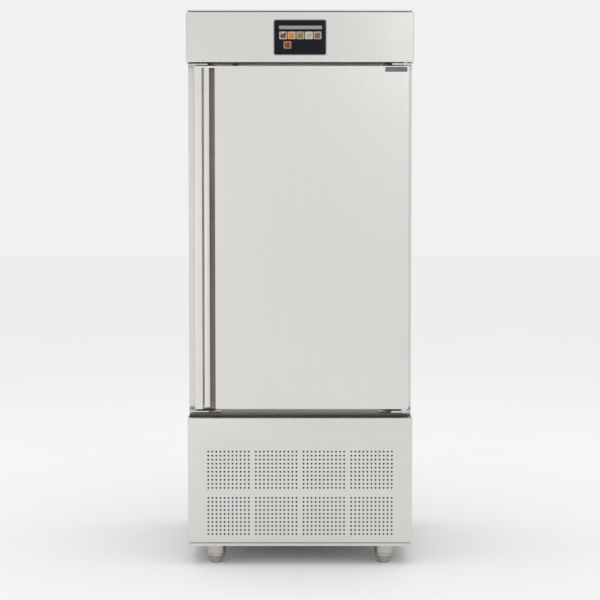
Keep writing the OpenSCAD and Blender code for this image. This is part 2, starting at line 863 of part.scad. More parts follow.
// Air shroud from the condenser to the plate with its two fan openings
module condenser_shroud() {
  color("darkgray") difference() {
    block([cond_x0, cond_x1], [cond_y1, shroud_y1], [deck_z1, cond_z1]);
    block([cond_x0 + sheet_t, cond_x1 - sheet_t], [cond_y1 - over, shroud_y1 - sheet_t],
      [deck_z1 + sheet_t, cond_z1 - sheet_t]);
    for (x = cond_fan_x) bar_y(x, [cond_y1, shroud_y1 + over], cond_mid_z, fan_hole_d);
  }
}

module condenser_fan_motors() {
  color("dimgray") for (x = cond_fan_x) fan_motor(x, shroud_y1, cond_mid_z);
}

module condenser_fan_1() {
  color("black") impeller(cond_fan_x[0], shroud_y1, cond_mid_z);
}

module condenser_fan_2() {
  color("black") impeller(cond_fan_x[1], shroud_y1, cond_mid_z);
}

// A domed vessel outline, for turning, with its wall drawn inwards by inset
module vessel_outline(d, h, dome, inset) {
  r = d / 2 - inset;
  top = h - inset;
  low = inset;
  intersection() {
    union() {
      translate([0, dome]) square([r, h - 2 * dome]);
      intersection() {
        translate([0, top - vessel_crown(r, dome - inset)])
          circle(r = vessel_crown(r, dome - inset));
        translate([0, h - dome]) square([r, dome]);
      }
      intersection() {
        translate([0, low + vessel_crown(r, dome - inset)])
          circle(r = vessel_crown(r, dome - inset));
        square([r, dome]);
      }
    }
    square([r, h]);
  }
}

// Radius of the dome that rises by rise over half its width
function vessel_crown(half, rise) = (half * half + rise * rise) / (2 * rise);

module vessel(d, h, dome) {
  difference() {
    rotate_extrude() vessel_outline(d, h, dome, 0);
    rotate_extrude() vessel_outline(d, h, dome, vessel_t);
  }
}

// Steel shell of the compressor on its foot plate
module compressor_shell() {
  color("black") {
    translate([comp_x, comp_y, comp_z0]) vessel(comp_d, comp_h, comp_dome);
    difference() {
      union() {
        block([comp_x - foot_plate / 2, comp_x + foot_plate / 2],
          [comp_y - foot_plate / 2, comp_y + foot_plate / 2],
          [comp_z0 - foot_plate_t, comp_z0]);
        translate([comp_x, comp_y, comp_z0])
          cylinder(d = comp_d * 0.72, h = comp_dome / 2);
      }
      translate([comp_x, comp_y, comp_z0])
        rotate_extrude() vessel_outline(comp_d, comp_h, comp_dome, vessel_t / 2);
      for (x = [-1, 1], y = [-1, 1])
        translate([comp_x + x * mount_span / 2, comp_y + y * mount_span / 2, comp_z0 - 10])
          cylinder(d = 10, h = 20);
    }
    translate([comp_x - port_x, comp_y, comp_z1 - comp_dome / 2])
      cylinder(d = liquid_d + 4, h = comp_dome / 2 + stub_h);
    translate([comp_x + port_x, comp_y, comp_z1 - comp_dome / 2])
      cylinder(d = suction_d + 4, h = comp_dome / 2 + stub_h);
  }
}

// Motor and pump inside the compressor
module compressor_core() {
  color("peru") translate([comp_x, comp_y, comp_z0]) {
    translate([0, 0, comp_dome + 10]) cylinder(d = core_d, h = comp_h - 2 * comp_dome - 30);
    translate([0, 0, comp_dome - 4]) cylinder(d = core_d * 0.5, h = comp_h - 2 * comp_dome);
    for (a = [45:90:315]) rotate([0, 0, a])
      translate([core_d / 2 - 3, 0, comp_dome + 30])
        block([0, core_reach - core_d / 2 + 3], [-core_leg_w / 2, core_leg_w / 2], [0, 40]);
  }
}

// Rubber mounts between the compressor and the deck
module compressor_mounts() {
  color("black") for (x = [-1, 1], y = [-1, 1])
    translate([comp_x + x * mount_span / 2, comp_y + y * mount_span / 2, deck_z1]) {
      cylinder(d = mount_d, h = mount_h);
      cylinder(d = 9, h = mount_h + foot_plate_t + 5);
    }
}

module liquid_receiver() {
  color("steelblue") {
    translate([recv_x, recv_y, recv_z0]) vessel(recv_d, recv_h, 25);
    translate([recv_x, recv_y, deck_z1]) difference() {
      cylinder(d = recv_d * 0.8, h = recv_skirt + 20);
      translate([0, 0, -over]) cylinder(d = recv_d * 0.8 - 6, h = recv_skirt + 22);
      translate([0, 0, recv_skirt])
        rotate_extrude() vessel_outline(recv_d, recv_h, 25, vessel_t / 2);
    }
    for (s = [-1, 1])
      translate([recv_x + s * recv_port, recv_y, recv_z1 - 12])
        cylinder(d = liquid_d + 4, h = 12 + stub_h);
  }
}

module filter_drier() {
  color("goldenrod") translate([drier_x, recv_y, 0]) {
    translate([0, 0, drier_z0]) cylinder(d = drier_d, h = drier_h);
    for (z = [drier_z0 - drier_neck, drier_z0 + drier_h])
      translate([0, 0, z]) cylinder(d = liquid_d + 4, h = drier_neck);
  }
}

// Hot gas, liquid and suction lines
module refrigerant_pipes() {
  hot_x = cond_x1 + plate_t + 14;
  comp_top = comp_z1 + stub_h;
  recv_top = recv_z1 + stub_h;
  cross_y = comp_y - pipe_run;
  color("chocolate") {
    pipe([[comp_x - port_x, comp_y, comp_top], [comp_x - port_x, comp_y, hot_gas_z],
      [comp_x - port_x, cross_y, hot_gas_z], [hot_x, cross_y, hot_gas_z],
      [hot_x, cond_y1, hot_gas_z]], liquid_d);
    pipe([[hot_x, cond_y1, liquid_out_z], [hot_x, cross_y + 40, liquid_out_z],
      [hot_x, cross_y + 40, recv_top + 20], [recv_x - recv_port, cross_y + 40, recv_top + 20],
      [recv_x - recv_port, recv_y, recv_top + 20], [recv_x - recv_port, recv_y, recv_top]],
      liquid_d);
    pipe([[recv_x + recv_port, recv_y, recv_top], [recv_x + recv_port, recv_y, recv_top + 48],
      [drier_x, recv_y, recv_top + 48], [drier_x, recv_y, drier_z0 + drier_h + drier_neck]],
      liquid_d);
    pipe([[drier_x, recv_y, drier_z0 - drier_neck], [drier_x, recv_y, drier_z0 - 40],
      [liquid_x, recv_y, drier_z0 - 40], [liquid_x, riser_y, drier_z0 - 40],
      [liquid_x, riser_y, valve_z0]], liquid_d);
    pipe([[comp_x + port_x, comp_y, comp_top], [comp_x + port_x, comp_y, comp_top + 55],
      [comp_x + port_x, riser_y - 60, comp_top + 55], [suction_x, riser_y - 60, comp_top + 55],
      [suction_x, riser_y, comp_top + 55], [suction_x, riser_y, evap_z0]], suction_d);
  }
}

// Open-fronted box for the electrical parts
module electrical_box() {
  color("lightgray") difference() {
    block([ebox_x0, ebox_x1], [ebox_y0, ebox_y0 + ebox_depth], [deck_z1, deck_z1 + ebox_w]);
    block([ebox_x0 + ebox_t, ebox_x1 - ebox_t], [ebox_y0 - over, ebox_y0 + ebox_depth - ebox_t],
      [deck_z1 + ebox_t, deck_z1 + ebox_w - ebox_t]);
  }
}

// Rail with three contactors, and a terminal block under it
module contactors() {
  back = ebox_y0 + ebox_depth - ebox_t;
  mid = (ebox_x0 + ebox_x1) / 2;
  rail_z = deck_z1 + ebox_w * 0.62;
  color("dimgray") {
    block([mid - 1.7 * contactor_w, mid + 1.7 * contactor_w], [back - rail_t, back],
      [rail_z - rail_h / 2, rail_z + rail_h / 2]);
    for (i = [-1:1])
      translate([mid + i * (contactor_w + 3), back - rail_t, rail_z])
        block([-contactor_w / 2, contactor_w / 2], [-contactor_d, 0],
          [-contactor_h / 2, contactor_h / 2]);
    block([mid - 60, mid + 60], [back - 28, back], [deck_z1 + 14, deck_z1 + 40]);
  }
}

// Louvred plate set into the back of the compartment
module rear_grille() {
  color("darkgray") difference() {
    block([-inner_x, inner_x], [rear_y0, rear_y1], [deck_z1, shell_z0]);
    for (x = [-1.5:1:0.5], i = [0:slot_rows - 1])
      translate([x * (slot_w + 30), 0, deck_z1 + 110 + i * slot_pitch])
        block([-slot_w / 2, slot_w / 2], [rear_y0 - over, rear_y1 + over], [0, slot_h]);
    bar_y(gland_x, [rear_y0 - over, rear_y1 + over], gland_z, gland_thread_d + 2 * slip);
    for (p = screw_places) bar_y(p[0], [rear_y0 - over, rear_y1 + over], p[1], screw_d + 0.4);
  }
}

// Gland for the mains cable, through the rear grille
module cable_gland() {
  color("dimgray") difference() {
    union() {
      bar_y(gland_x, [rear_y1, rear_y1 + 6], gland_z, gland_flange_d);
      bar_y(gland_x, [rear_y1, rear_y1 + gland_out], gland_z, gland_thread_d);
      bar_y(gland_x, [rear_y0 - gland_in, rear_y1], gland_z, gland_thread_d);
      bar_y(gland_x, [rear_y0 - 6, rear_y0], gland_z, gland_flange_d);
    }
    bar_y(gland_x, [rear_y0 - gland_in - over, rear_y1 + gland_out + over], gland_z,
      gland_bore);
  }
}

// Screws of the rear grille
module grille_screws() {
  color("silver") for (p = screw_places) {
    bar_y(p[0], [rear_y1, rear_y1 + screw_head_h], p[1], screw_head_d);
    bar_y(p[0], [rear_y0 - 8, rear_y1], p[1], screw_d);
  }
}

// Flat plate that flares towards the cabinet, and the leg that fixes it to the front frame
module bracket_plate(z, leg_z) {
  flare_x = bracket_x0 - bracket_flare;
  translate([0, 0, z[0]]) linear_extrude(z[1] - z[0])
    polygon([[flare_x, face_y], [flare_x, face_y - bracket_t], [bracket_x0, bracket_y0],
      [bracket_x1, bracket_y0], [bracket_x1, face_y]]);
  block([flare_x, bracket_x1], [face_y - bracket_t, face_y], leg_z);
}

// The brackets stand over the frame, clear of the door's top and bottom edges
module hinge_bracket_upper() {
  color("silver") {
    bracket_plate([top_plate_z0, top_plate_z1], [top_plate_z0, top_plate_z0 + bracket_leg]);
    translate([pivot_x, pivot_y, door_z1 - bush_h + 4])
      cylinder(d = pin_d, h = top_plate_z0 - door_z1 + bush_h - 4);
  }
}

module hinge_bracket_lower() {
  color("silver") {
    bracket_plate([low_plate_z0, low_plate_z1], [shell_z0, low_plate_z1]);
    translate([pivot_x, pivot_y, low_plate_z1])
      cylinder(d = pin_d, h = door_z0 - low_plate_z1 + bush_h - 4);
  }
}

// Blank plates where the hinges of a left-hung door would go
module spare_hinge_plates() {
  color("silver") mirror([1, 0, 0]) {
    bracket_plate([top_plate_z0, top_plate_z0 + blank_t],
      [top_plate_z0, top_plate_z0 + bracket_leg]);
    bracket_plate([low_plate_z1 - blank_t, low_plate_z1], [shell_z0, low_plate_z1]);
  }
}

// Door switch over the door
module door_switch() {
  color("black") {
    block([switch_x - switch_w / 2, switch_x + switch_w / 2], [face_y - switch_d, face_y],
      [door_z1 + 3, fascia_z0 - 1]);
    translate([switch_x, face_y - switch_d + 8, door_z1 + 1]) cylinder(d = 6, h = 3);
  }
}

module foot(x, y) {
  translate([x, y, 0]) {
    cylinder(d1 = foot_tip_d, d2 = foot_d, h = foot_z1);
    cylinder(d = spindle_d, h = foot_h + spindle_h);
  }
}

module foot_front_left() {
  color("gainsboro") foot(-foot_x, foot_front_y);
}

module foot_front_right() {
  color("gainsboro") foot(foot_x, foot_front_y);
}

module foot_rear_left() {
  color("gainsboro") foot(-foot_x, foot_rear_y);
}

module foot_rear_right() {
  color("gainsboro") foot(foot_x, foot_rear_y);
}

// The box that the handle channel takes up behind the door skin, open at the bottom
module channel_box(z0) {
  block([recess_x0 - sheet_t, recess_x1 + sheet_t], [door_y0 + sheet_t, recess_y1 + sheet_t],
    [z0, recess_z1 + sheet_t]);
}

// Holes for the two pivot bushes
module bush_cuts() {
  for (z = [door_z0 - over, door_z1 - bush_h])
    translate([pivot_x, pivot_y, z]) cylinder(d = bush_d, h = bush_h + over);
}

// Front and edges of the door, in one folded sheet, cut out for the handle
module door_skin() {
  color("whitesmoke") difference() {
    block([door_x0, door_x1], [door_y0, door_y1 - sheet_t], [door_z0, door_z1]);
    block([door_x0 + sheet_t, door_x1 - sheet_t], [door_y0 + sheet_t, door_y1 + over],
      [door_z0 + sheet_t, door_z1 - sheet_t]);
    block([recess_x0, recess_x1], [door_y0 - over, door_y0 + 2 * sheet_t],
      [door_z0 - over, recess_z1]);
    channel_box(door_z0 - over);
    bush_cuts();
  }
}

module door_foam() {
  color("khaki") difference() {
    block([door_x0 + sheet_t, door_x1 - sheet_t], [door_y0 + sheet_t, door_y1 - sheet_t],
      [door_z0 + sheet_t, door_z1 - sheet_t]);
    channel_box(door_z0);
    bush_cuts();
  }
}

// Inner sheet of the door, raised in the middle
module door_liner() {
  plug_x0 = door_x0 + gasket_side + gasket_w + 12;
  plug_x1 = door_x1 - gasket_side - gasket_w - 12;
  plug_z0 = door_z0 + gasket_end + gasket_w + 14;
  plug_z1 = door_z1 - gasket_end - gasket_w - 14;
  color("gainsboro") difference() {
    union() {
      block([door_x0, door_x1], [door_y1 - sheet_t, door_y1], [door_z0, door_z1]);
      block([plug_x0, plug_x1], [door_y1 - sheet_t, door_y1 + plug_t], [plug_z0, plug_z1]);
    }
    block([plug_x0 + sheet_t, plug_x1 - sheet_t], [door_y1 - 2 * sheet_t,
      door_y1 + plug_t - sheet_t], [plug_z0 + sheet_t, plug_z1 - sheet_t]);
  }
}

// Magnetic gasket, in one ring, just clear of the frame that it seals on
module door_gasket() {
  x = [door_x0 + gasket_side, door_x1 - gasket_side];
  y = [door_y1, face_y - rest_gap];
  z = [door_z0 + gasket_end, door_z1 - gasket_end];
  color("dimgray") difference() {
    block(x, y, z);
    block([x[0] + gasket_w, x[1] - gasket_w], [y[0] - over, y[1] + over],
      [z[0] + gasket_w, z[1] - gasket_w]);
  }
}

// Trough of the full-height handle, open at the front and the bottom
module handle_channel() {
  color("gray") difference() {
    channel_box(door_z0);
    block([recess_x0, recess_x1], [door_y0, recess_y1], [door_z0 - over, recess_z1]);
  }
}

// Crowned grip bar on a web that stands on the floor of the trough
module handle_grip() {
  crown_y = door_y0 + grip_crown;
  color("gainsboro") translate([0, 0, grip_z0]) linear_extrude(recess_z1 - grip_z0) {
    translate([grip_x0, door_y0 + grip_t]) square([grip_t, recess_y1 - door_y0 - grip_t]);
    intersection() {
      difference() {
        translate([(grip_x0 + grip_x1) / 2, crown_y]) circle(r = grip_crown, $fn = 96);
        translate([(grip_x0 + grip_x1) / 2, crown_y])
          circle(r = grip_crown - grip_t, $fn = 96);
      }
      translate([grip_x0, door_y0]) square([grip_w, recess_d / 2]);
    }
  }
}

// Bare plate in the top corner of the door
module badge_plate() {
  color("slategray")
    block([door_x1 - badge_side - badge_w, door_x1 - badge_side], [door_y0 - badge_t, door_y0],
      [door_z1 - badge_inset - badge_h, door_z1 - badge_inset]);
}

// Blind bushes that turn on the bracket pins; the lower one has a bearing collar
module door_bushes() {
  color("white") {
    translate([pivot_x, pivot_y, door_z1 - bush_h]) difference() {
      cylinder(d = bush_d, h = bush_h);
      translate([0, 0, 3]) cylinder(d = pin_d + 2 * fit, h = bush_h);
    }
    translate([pivot_x, pivot_y, door_z0]) difference() {
      union() {
        cylinder(d = bush_d, h = bush_h);
        translate([0, 0, low_plate_z1 + rest_gap - door_z0])
          cylinder(d = collar_d, h = door_z0 - low_plate_z1 - rest_gap);
      }
      translate([0, 0, low_plate_z1 - door_z0])
        cylinder(d = pin_d + 2 * fit, h = bush_h + door_z0 - low_plate_z1 - 3);
    }
  }
}

// A sheet tray, open to the back
module sheet_tray(x, y, z) {
  difference() {
    block(x, y, z);
    block([x[0] + sheet_t, x[1] - sheet_t], [y[0] + sheet_t, y[1] + over],
      [z[0] + sheet_t, z[1] - sheet_t]);
  }
}

// The outline of the touchscreen, grown by slack, pushed back over a depth
module screen_block(slack, y) {
  translate([0, y[1], fascia_z0 + screen_z - slack]) rotate([90, 0, 0])
    linear_extrude(y[1] - y[0])
      rounded_outline(screen_w + 2 * slack, screen_h + 2 * slack, screen_r + slack);
}

// Control fascia, notched round the hinge ears, with the opening for the screen
module control_fascia() {
  color("gainsboro") difference() {
    sheet_tray([-side_x, side_x], [front_y, fold_y], [fascia_z0, fascia_z1]);
    screen_block(slip, [front_y - over, front_y + 2 * sheet_t]);
    for (s = [-1, 1]) mirror([s < 0 ? 1 : 0, 0, 0]) {
      translate([inner_x - over, stud_y, fascia_pivot_z]) rotate([0, 90, 0])
        cylinder(d = stud_d + 2 * fit, h = sheet_t + 2 * over);
      block([inner_x - ear_notch, inner_x], [stud_y - ear_r - over, fold_y + over],
        [fascia_z1 - sheet_t - over, fascia_z1 + over]);
    }
  }
}

module display_glass() {
  color("black") screen_block(0, [front_y, front_y + glass_t]);
}

// Housing behind the glass
module display_module() {
  color("dimgray") difference() {
    screen_block(housing_rim, [front_y + sheet_t, front_y + sheet_t + module_d]);
    screen_block(slip, [front_y, front_y + glass_t]);
  }
}

// Circuit board on four posts behind the display
module controller_board() {
  y = front_y + sheet_t + module_d;
  mid_z = fascia_z0 + screen_z + screen_h / 2;
  color("seagreen") {
    block([-board_w / 2, board_w / 2], [y + board_gap, y + board_gap + board_t],
      [mid_z - board_h / 2, mid_z + board_h / 2]);
    for (x = [-1, 1], z = [-1, 1])
      bar_y(x * (board_w / 2 - 6), [y, y + board_gap], mid_z + z * (board_h / 2 - 6), 6);
  }
}

// Perforated lower panel, cut away round the hinge ears
module perforations() {
  for (i = [0:3], j = [0:1])
    translate([(i - 1.5) * (field_w + field_gap_x) - field_w / 2, front_y + 2 * sheet_t,
      panel_z0 + field_base + j * (field_h + field_gap_z)])
      rotate([90, 0, 0]) linear_extrude(3 * sheet_t)
        for (c = [0:hole_columns - 1], r = [0:hole_rows - 1])
          translate([c * hole_pitch, r * hole_pitch]) circle(d = hole_d, $fn = 24);
}

module lower_grille() {
  color("gainsboro") difference() {
    sheet_tray([-side_x, side_x], [front_y, fold_y], [panel_z0, panel_z1]);
    for (z = [panel_z0 - over, panel_z1 - sheet_t - over])
      translate([panel_pivot_x, stud_y, z])
        cylinder(d = stud_d + 2 * fit, h = sheet_t + 2 * over);
    for (z = [panel_z0 + sheet_t, panel_z1 - sheet_t - ear_notch])
      block([inner_x - over, side_x + over], [front_y + sheet_t + over, fold_y + over],
        [z, z + ear_notch]);
    perforations();
  }
}

base_frame();
foot_sleeves();
side_panel_left();
side_panel_right();
back_panel();
top_cover();
cabinet_foam();
inner_liner();
front_frame();
breaker_strip();
foam_decks();
tray_uprights();
tray_runners();
duct_panel();
fan_guards();
evaporator_fan_motors();
evaporator_coil();
expansion_valve();
drain_pipe();
cabin_sensors();
condenser_coil();
condenser_shroud();
condenser_fan_motors();
compressor_shell();
compressor_core();
compressor_mounts();
liquid_receiver();
filter_drier();
refrigerant_pipes();
electrical_box();
contactors();
rear_grille();
cable_gland();
hinge_bracket_upper();
hinge_bracket_lower();
spare_hinge_plates();
door_switch();
grille_screws();
evaporator_fan_1();
evaporator_fan_2();
evaporator_fan_3();
condenser_fan_1();
condenser_fan_2();
foot_front_left();
foot_front_right();
foot_rear_left();
foot_rear_right();
door_skin();
door_foam();
door_liner();
door_gasket();
handle_channel();
handle_grip();
badge_plate();
door_bushes();
control_fascia();
display_glass();
display_module();
controller_board();
lower_grille();
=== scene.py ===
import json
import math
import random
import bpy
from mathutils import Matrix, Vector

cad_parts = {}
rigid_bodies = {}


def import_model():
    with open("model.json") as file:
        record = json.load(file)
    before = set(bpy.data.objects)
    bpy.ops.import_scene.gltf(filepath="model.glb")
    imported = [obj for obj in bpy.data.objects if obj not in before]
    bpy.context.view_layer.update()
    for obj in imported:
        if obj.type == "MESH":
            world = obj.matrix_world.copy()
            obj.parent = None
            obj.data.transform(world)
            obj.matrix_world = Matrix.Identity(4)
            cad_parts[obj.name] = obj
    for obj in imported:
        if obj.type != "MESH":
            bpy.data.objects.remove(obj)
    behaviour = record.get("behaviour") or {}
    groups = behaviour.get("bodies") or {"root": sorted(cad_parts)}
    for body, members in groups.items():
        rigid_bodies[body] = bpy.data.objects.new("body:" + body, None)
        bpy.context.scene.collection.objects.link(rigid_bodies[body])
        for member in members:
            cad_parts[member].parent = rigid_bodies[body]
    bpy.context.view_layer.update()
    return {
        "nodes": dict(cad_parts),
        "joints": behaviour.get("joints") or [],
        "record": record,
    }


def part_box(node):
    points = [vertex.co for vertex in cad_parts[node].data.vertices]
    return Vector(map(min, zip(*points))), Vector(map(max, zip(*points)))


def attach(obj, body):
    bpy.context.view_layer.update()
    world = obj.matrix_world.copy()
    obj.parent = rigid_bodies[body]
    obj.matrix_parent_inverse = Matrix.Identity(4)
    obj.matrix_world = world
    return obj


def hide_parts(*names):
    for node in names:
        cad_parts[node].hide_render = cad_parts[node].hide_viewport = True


bl_info = {
    "name": "Upright blast chiller",
    "version": (1, 0, 0),
    "blender": (4, 5, 0),
    "location": "3D View > Sidebar > Chiller",
    "description": "Sheet metal, door, touchscreen, fans and pipework of an upright blast chiller",
    "category": "Object",
}

import bmesh
import bpy
from mathutils import Vector
from mathutils.geometry import tessellate_polygon

for start_object in list(bpy.data.objects):
    bpy.data.objects.remove(start_object)
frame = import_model()
FINISH = "finish_"
BODY = {n: b for b, members in frame["record"]["behaviour"]["bodies"].items() for n in members}


def mm(value):
    """Millimetres as metres."""
    return value * 0.001


def lows(node):
    """Lowest corner of a CAD node."""
    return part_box(node)[0]


def highs(node):
    """Highest corner of a CAD node."""
    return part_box(node)[1]


def centre(node):
    """Middle of a CAD node's box."""
    low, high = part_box(node)
    return (low + high) / 2


# Sizes and colours that a user would change


def length(name, description, default):
    """A length that a user can change."""
    return bpy.props.FloatProperty(name=name, description=description, default=default,
                                   min=0.0, unit="LENGTH", subtype="DISTANCE", precision=4)


def tint(name, description, default):
    """A colour that a user can change."""
    return bpy.props.FloatVectorProperty(name=name, description=description, default=default,
                                         size=3, min=0.0, max=1.0, subtype="COLOR")


class ChillerSizes(bpy.types.PropertyGroup):
    sheet: length("Sheet", "Thickness of the steel sheet", mm(1.2))
    bend: length("Bend", "Outside radius of a fold in the outer sheets", mm(2.4))
    corner: length("Corner", "Radius of a welded and ground corner", mm(3.2))
    cove: length("Cove", "Radius of the coved corners inside the cabin", mm(12.0))
    hole: length("Perforation", "Diameter of a perforation in the lower panel", mm(6.7))
    hole_pitch: length("Perforation pitch", "Distance between perforations", mm(14.3))
    wire: length("Guard wire", "Diameter of the wire of a fan guard", mm(3.0))
    fin_step: length("Fin spacing", "Distance between the fins of the coils", mm(5.0))
    pipe_bend: length("Pipe bend", "Radius of the bends in the copper pipes", mm(26.0))


class ChillerColours(bpy.types.PropertyGroup):
    steel: tint("Outer steel", "Satin stainless steel outside", (0.70, 0.69, 0.67))
    door: tint("Door steel", "Satin stainless steel of the door", (0.73, 0.72, 0.70))
    liner: tint("Cabin steel", "Stainless steel inside the cabin", (0.66, 0.66, 0.65))
    zinc: tint("Zinc", "Galvanised sheet", (0.48, 0.50, 0.51))
    screen: tint("Screen", "Touchscreen at rest", (0.006, 0.0065, 0.0105))
    copper: tint("Copper", "Copper pipe", (0.72, 0.36, 0.20))
    floor: tint("Floor", "Floor of the studio", (0.90, 0.90, 0.90))


# Effects that the materials share


def shared(build):
    """Builds a shader node group the first time that a material asks for it."""
    name = build.__name__.replace("_", " ").capitalize()

    def group():
        return bpy.data.node_groups.get(name) or build(name)
    group.__doc__ = build.__doc__
    return group


def new_group(name, inputs, outputs):
    """An empty shader node group with named sockets, and its input and output nodes."""
    tree = bpy.data.node_groups.new(name, "ShaderNodeTree")
    for label, kind, value in inputs:
        socket = tree.interface.new_socket(name=label, in_out="INPUT", socket_type=kind)
        socket.default_value = value
    for label, kind in outputs:
        tree.interface.new_socket(name=label, in_out="OUTPUT", socket_type=kind)
    return tree, tree.nodes.new("NodeGroupInput"), tree.nodes.new("NodeGroupOutput")


def noise_in(tree, vector, scale, detail, roughness=0.5):
    """A noise texture on a vector socket."""
    node = tree.nodes.new("ShaderNodeTexNoise")
    node.inputs["Scale"].default_value = scale
    node.inputs["Detail"].default_value = detail
    node.inputs["Roughness"].default_value = roughness
    tree.links.new(vector, node.inputs["Vector"])
    return node.outputs["Fac"]


def remap(tree, value, low, high, to_low=0.0, to_high=1.0):
    """A clamped Map Range on a value socket."""
    node = tree.nodes.new("ShaderNodeMapRange")
    for label, number in (("From Min", low), ("From Max", high), ("To Min", to_low),
                          ("To Max", to_high)):
        node.inputs[label].default_value = number
    tree.links.new(value, node.inputs["Value"])
    return node.outputs["Result"]


def maths(tree, operation, first, second):
    """A Math node on a socket and a socket or number."""
    node = tree.nodes.new("ShaderNodeMath")
    node.operation = operation
    tree.links.new(first, node.inputs[0])
    if isinstance(second, (int, float)):
        node.inputs[1].default_value = second
    else:
        tree.links.new(second, node.inputs[1])
    return node.outputs[0]


def object_place(tree):
    """Where a point lies on its object."""
    return tree.nodes.new("ShaderNodeTexCoord").outputs["Object"]


def place_times(tree, operation, factor):
    """Where a point lies on its object, worked with a socket by a Vector Math node."""
    node = tree.nodes.new("ShaderNodeVectorMath")
    node.operation = operation
    tree.links.new(object_place(tree), node.inputs[0])
    tree.links.new(factor, node.inputs["Scale" if operation == "SCALE" else 1])
    return node.outputs["Value" if operation == "DOT_PRODUCT" else "Vector"]


@shared
def brushed_lines(name):
    """Lines of a brushed or rolled surface, stretched along one axis."""
    tree, given, out = new_group(
        name, [("Stretch", "NodeSocketVector", (1.0, 1.0, 1.0))],
        [("Lines", "NodeSocketFloat"), ("Drift", "NodeSocketFloat")])
    place = place_times(tree, "MULTIPLY", given.outputs["Stretch"])
    fine = noise_in(tree, place, 1.0, 5.0, 0.7)
    tree.links.new(remap(tree, fine, 0.3, 0.7), out.inputs["Lines"])
    broad = noise_in(tree, place, 0.045, 2.0, 0.5)
    tree.links.new(remap(tree, broad, 0.3, 0.7), out.inputs["Drift"])
    return tree


@shared
def handling_marks(name):
    """Soft patches that wiping and hands leave on a surface."""
    tree, given, out = new_group(
        name, [("Size", "NodeSocketFloat", 4.0)], [("Marks", "NodeSocketFloat")])
    place = place_times(tree, "SCALE", given.outputs["Size"])
    broad = remap(tree, noise_in(tree, place, 1.0, 3.0, 0.55), 0.35, 0.7)
    small = remap(tree, noise_in(tree, place, 7.0, 4.0, 0.6), 0.4, 0.75)
    tree.links.new(maths(tree, "MULTIPLY", maths(tree, "ADD", broad, small), 0.5),
                   out.inputs["Marks"])
    return tree


@shared
def settled_dust(name):
    """Dust that settles on faces that look up."""
    tree, given, out = new_group(
        name, [("Amount", "NodeSocketFloat", 0.2)], [("Dust", "NodeSocketFloat")])
    shape = tree.nodes.new("ShaderNodeNewGeometry")
    split = tree.nodes.new("ShaderNodeSeparateXYZ")
    tree.links.new(shape.outputs["Normal"], split.inputs[0])
    up = remap(tree, split.outputs["Z"], 0.55, 0.95)
    cloud = remap(tree, noise_in(tree, object_place(tree), 14.0, 5.0, 0.6), 0.3, 0.75)
    dusty = maths(tree, "MULTIPLY", up, cloud)
    tree.links.new(maths(tree, "MULTIPLY", dusty, given.outputs["Amount"]), out.inputs["Dust"])
    return tree


@shared
def mottle(name):
    """Fine and coarse mottling of moulded plastic, paint, cast metal or zinc."""
    tree, given, out = new_group(
        name, [("Fine", "NodeSocketFloat", 900.0), ("Coarse", "NodeSocketFloat", 40.0)],
        [("Grain", "NodeSocketFloat"), ("Patches", "NodeSocketFloat")])
    fine = noise_in(tree, place_times(tree, "SCALE", given.outputs["Fine"]), 1.0, 3.0, 0.6)
    tree.links.new(remap(tree, fine, 0.3, 0.7), out.inputs["Grain"])
    cells = tree.nodes.new("ShaderNodeTexVoronoi")
    cells.inputs["Scale"].default_value = 1.0
    tree.links.new(place_times(tree, "SCALE", given.outputs["Coarse"]), cells.inputs["Vector"])
    grey = tree.nodes.new("ShaderNodeSeparateColor")
    tree.links.new(cells.outputs["Color"], grey.inputs[0])
    tree.links.new(grey.outputs["Red"], out.inputs["Patches"])
    return tree


@shared
def below_a_limit(name):
    """The part of an object that lies below a limit along an axis, with a soft edge."""
    tree, given, out = new_group(
        name, [("Axis", "NodeSocketVector", (0.0, 0.0, 1.0)),
               ("Limit", "NodeSocketFloat", 0.0)], [("Mask", "NodeSocketFloat")])
    along = place_times(tree, "DOT_PRODUCT", given.outputs["Axis"])
    over = maths(tree, "SUBTRACT", along, given.outputs["Limit"])
    soft = mm(3)
    tree.links.new(remap(tree, over, -soft, soft, 1.0, 0.0), out.inputs["Mask"])
    return tree


def place_group(tree, group, **values):
    """Places a shared effect in a material and sets its inputs."""
    node = tree.nodes.new("ShaderNodeGroup")
    node.node_tree = group()
    for label, value in values.items():
        node.inputs[label].default_value = value
    return node.outputs


def blend(tree, mask, first, second, strength=1.0):
    """Mixes towards the second colour by a mask. The first is a colour or a socket."""
    node = tree.nodes.new("ShaderNodeMix")
    node.data_type = "RGBA"
    if isinstance(first, bpy.types.NodeSocket):
        tree.links.new(first, node.inputs["A"])
    else:
        node.inputs["A"].default_value = (*first, 1.0)
    node.inputs["B"].default_value = (*second, 1.0)
    tree.links.new(remap(tree, mask, 0.0, 1.0, 0.0, strength), node.inputs["Factor"])
    return node.outputs["Result"]


def shade(colour, factor):
    """A colour made darker or lighter."""
    return tuple(min(1.0, c * factor) for c in colour)


def principled(metallic=0.0, coat=0.0, specular=0.5):
    """A new material with its nodes and its Principled shader."""
    material = bpy.data.materials.new(FINISH)
    material.use_nodes = True
    shader = material.node_tree.nodes["Principled BSDF"]
    shader.inputs["Metallic"].default_value = metallic
    shader.inputs["Coat Weight"].default_value = coat
    shader.inputs["Specular IOR Level"].default_value = specular
    return material, material.node_tree, shader


def bump(tree, shader, height, distance):
    """Feeds a height into the shader's normal."""
    node = tree.nodes.new("ShaderNodeBump")
    node.inputs["Strength"].default_value = 0.6
    node.inputs["Distance"].default_value = distance
    tree.links.new(height, node.inputs["Height"])
    tree.links.new(node.outputs["Normal"], shader.inputs["Normal"])


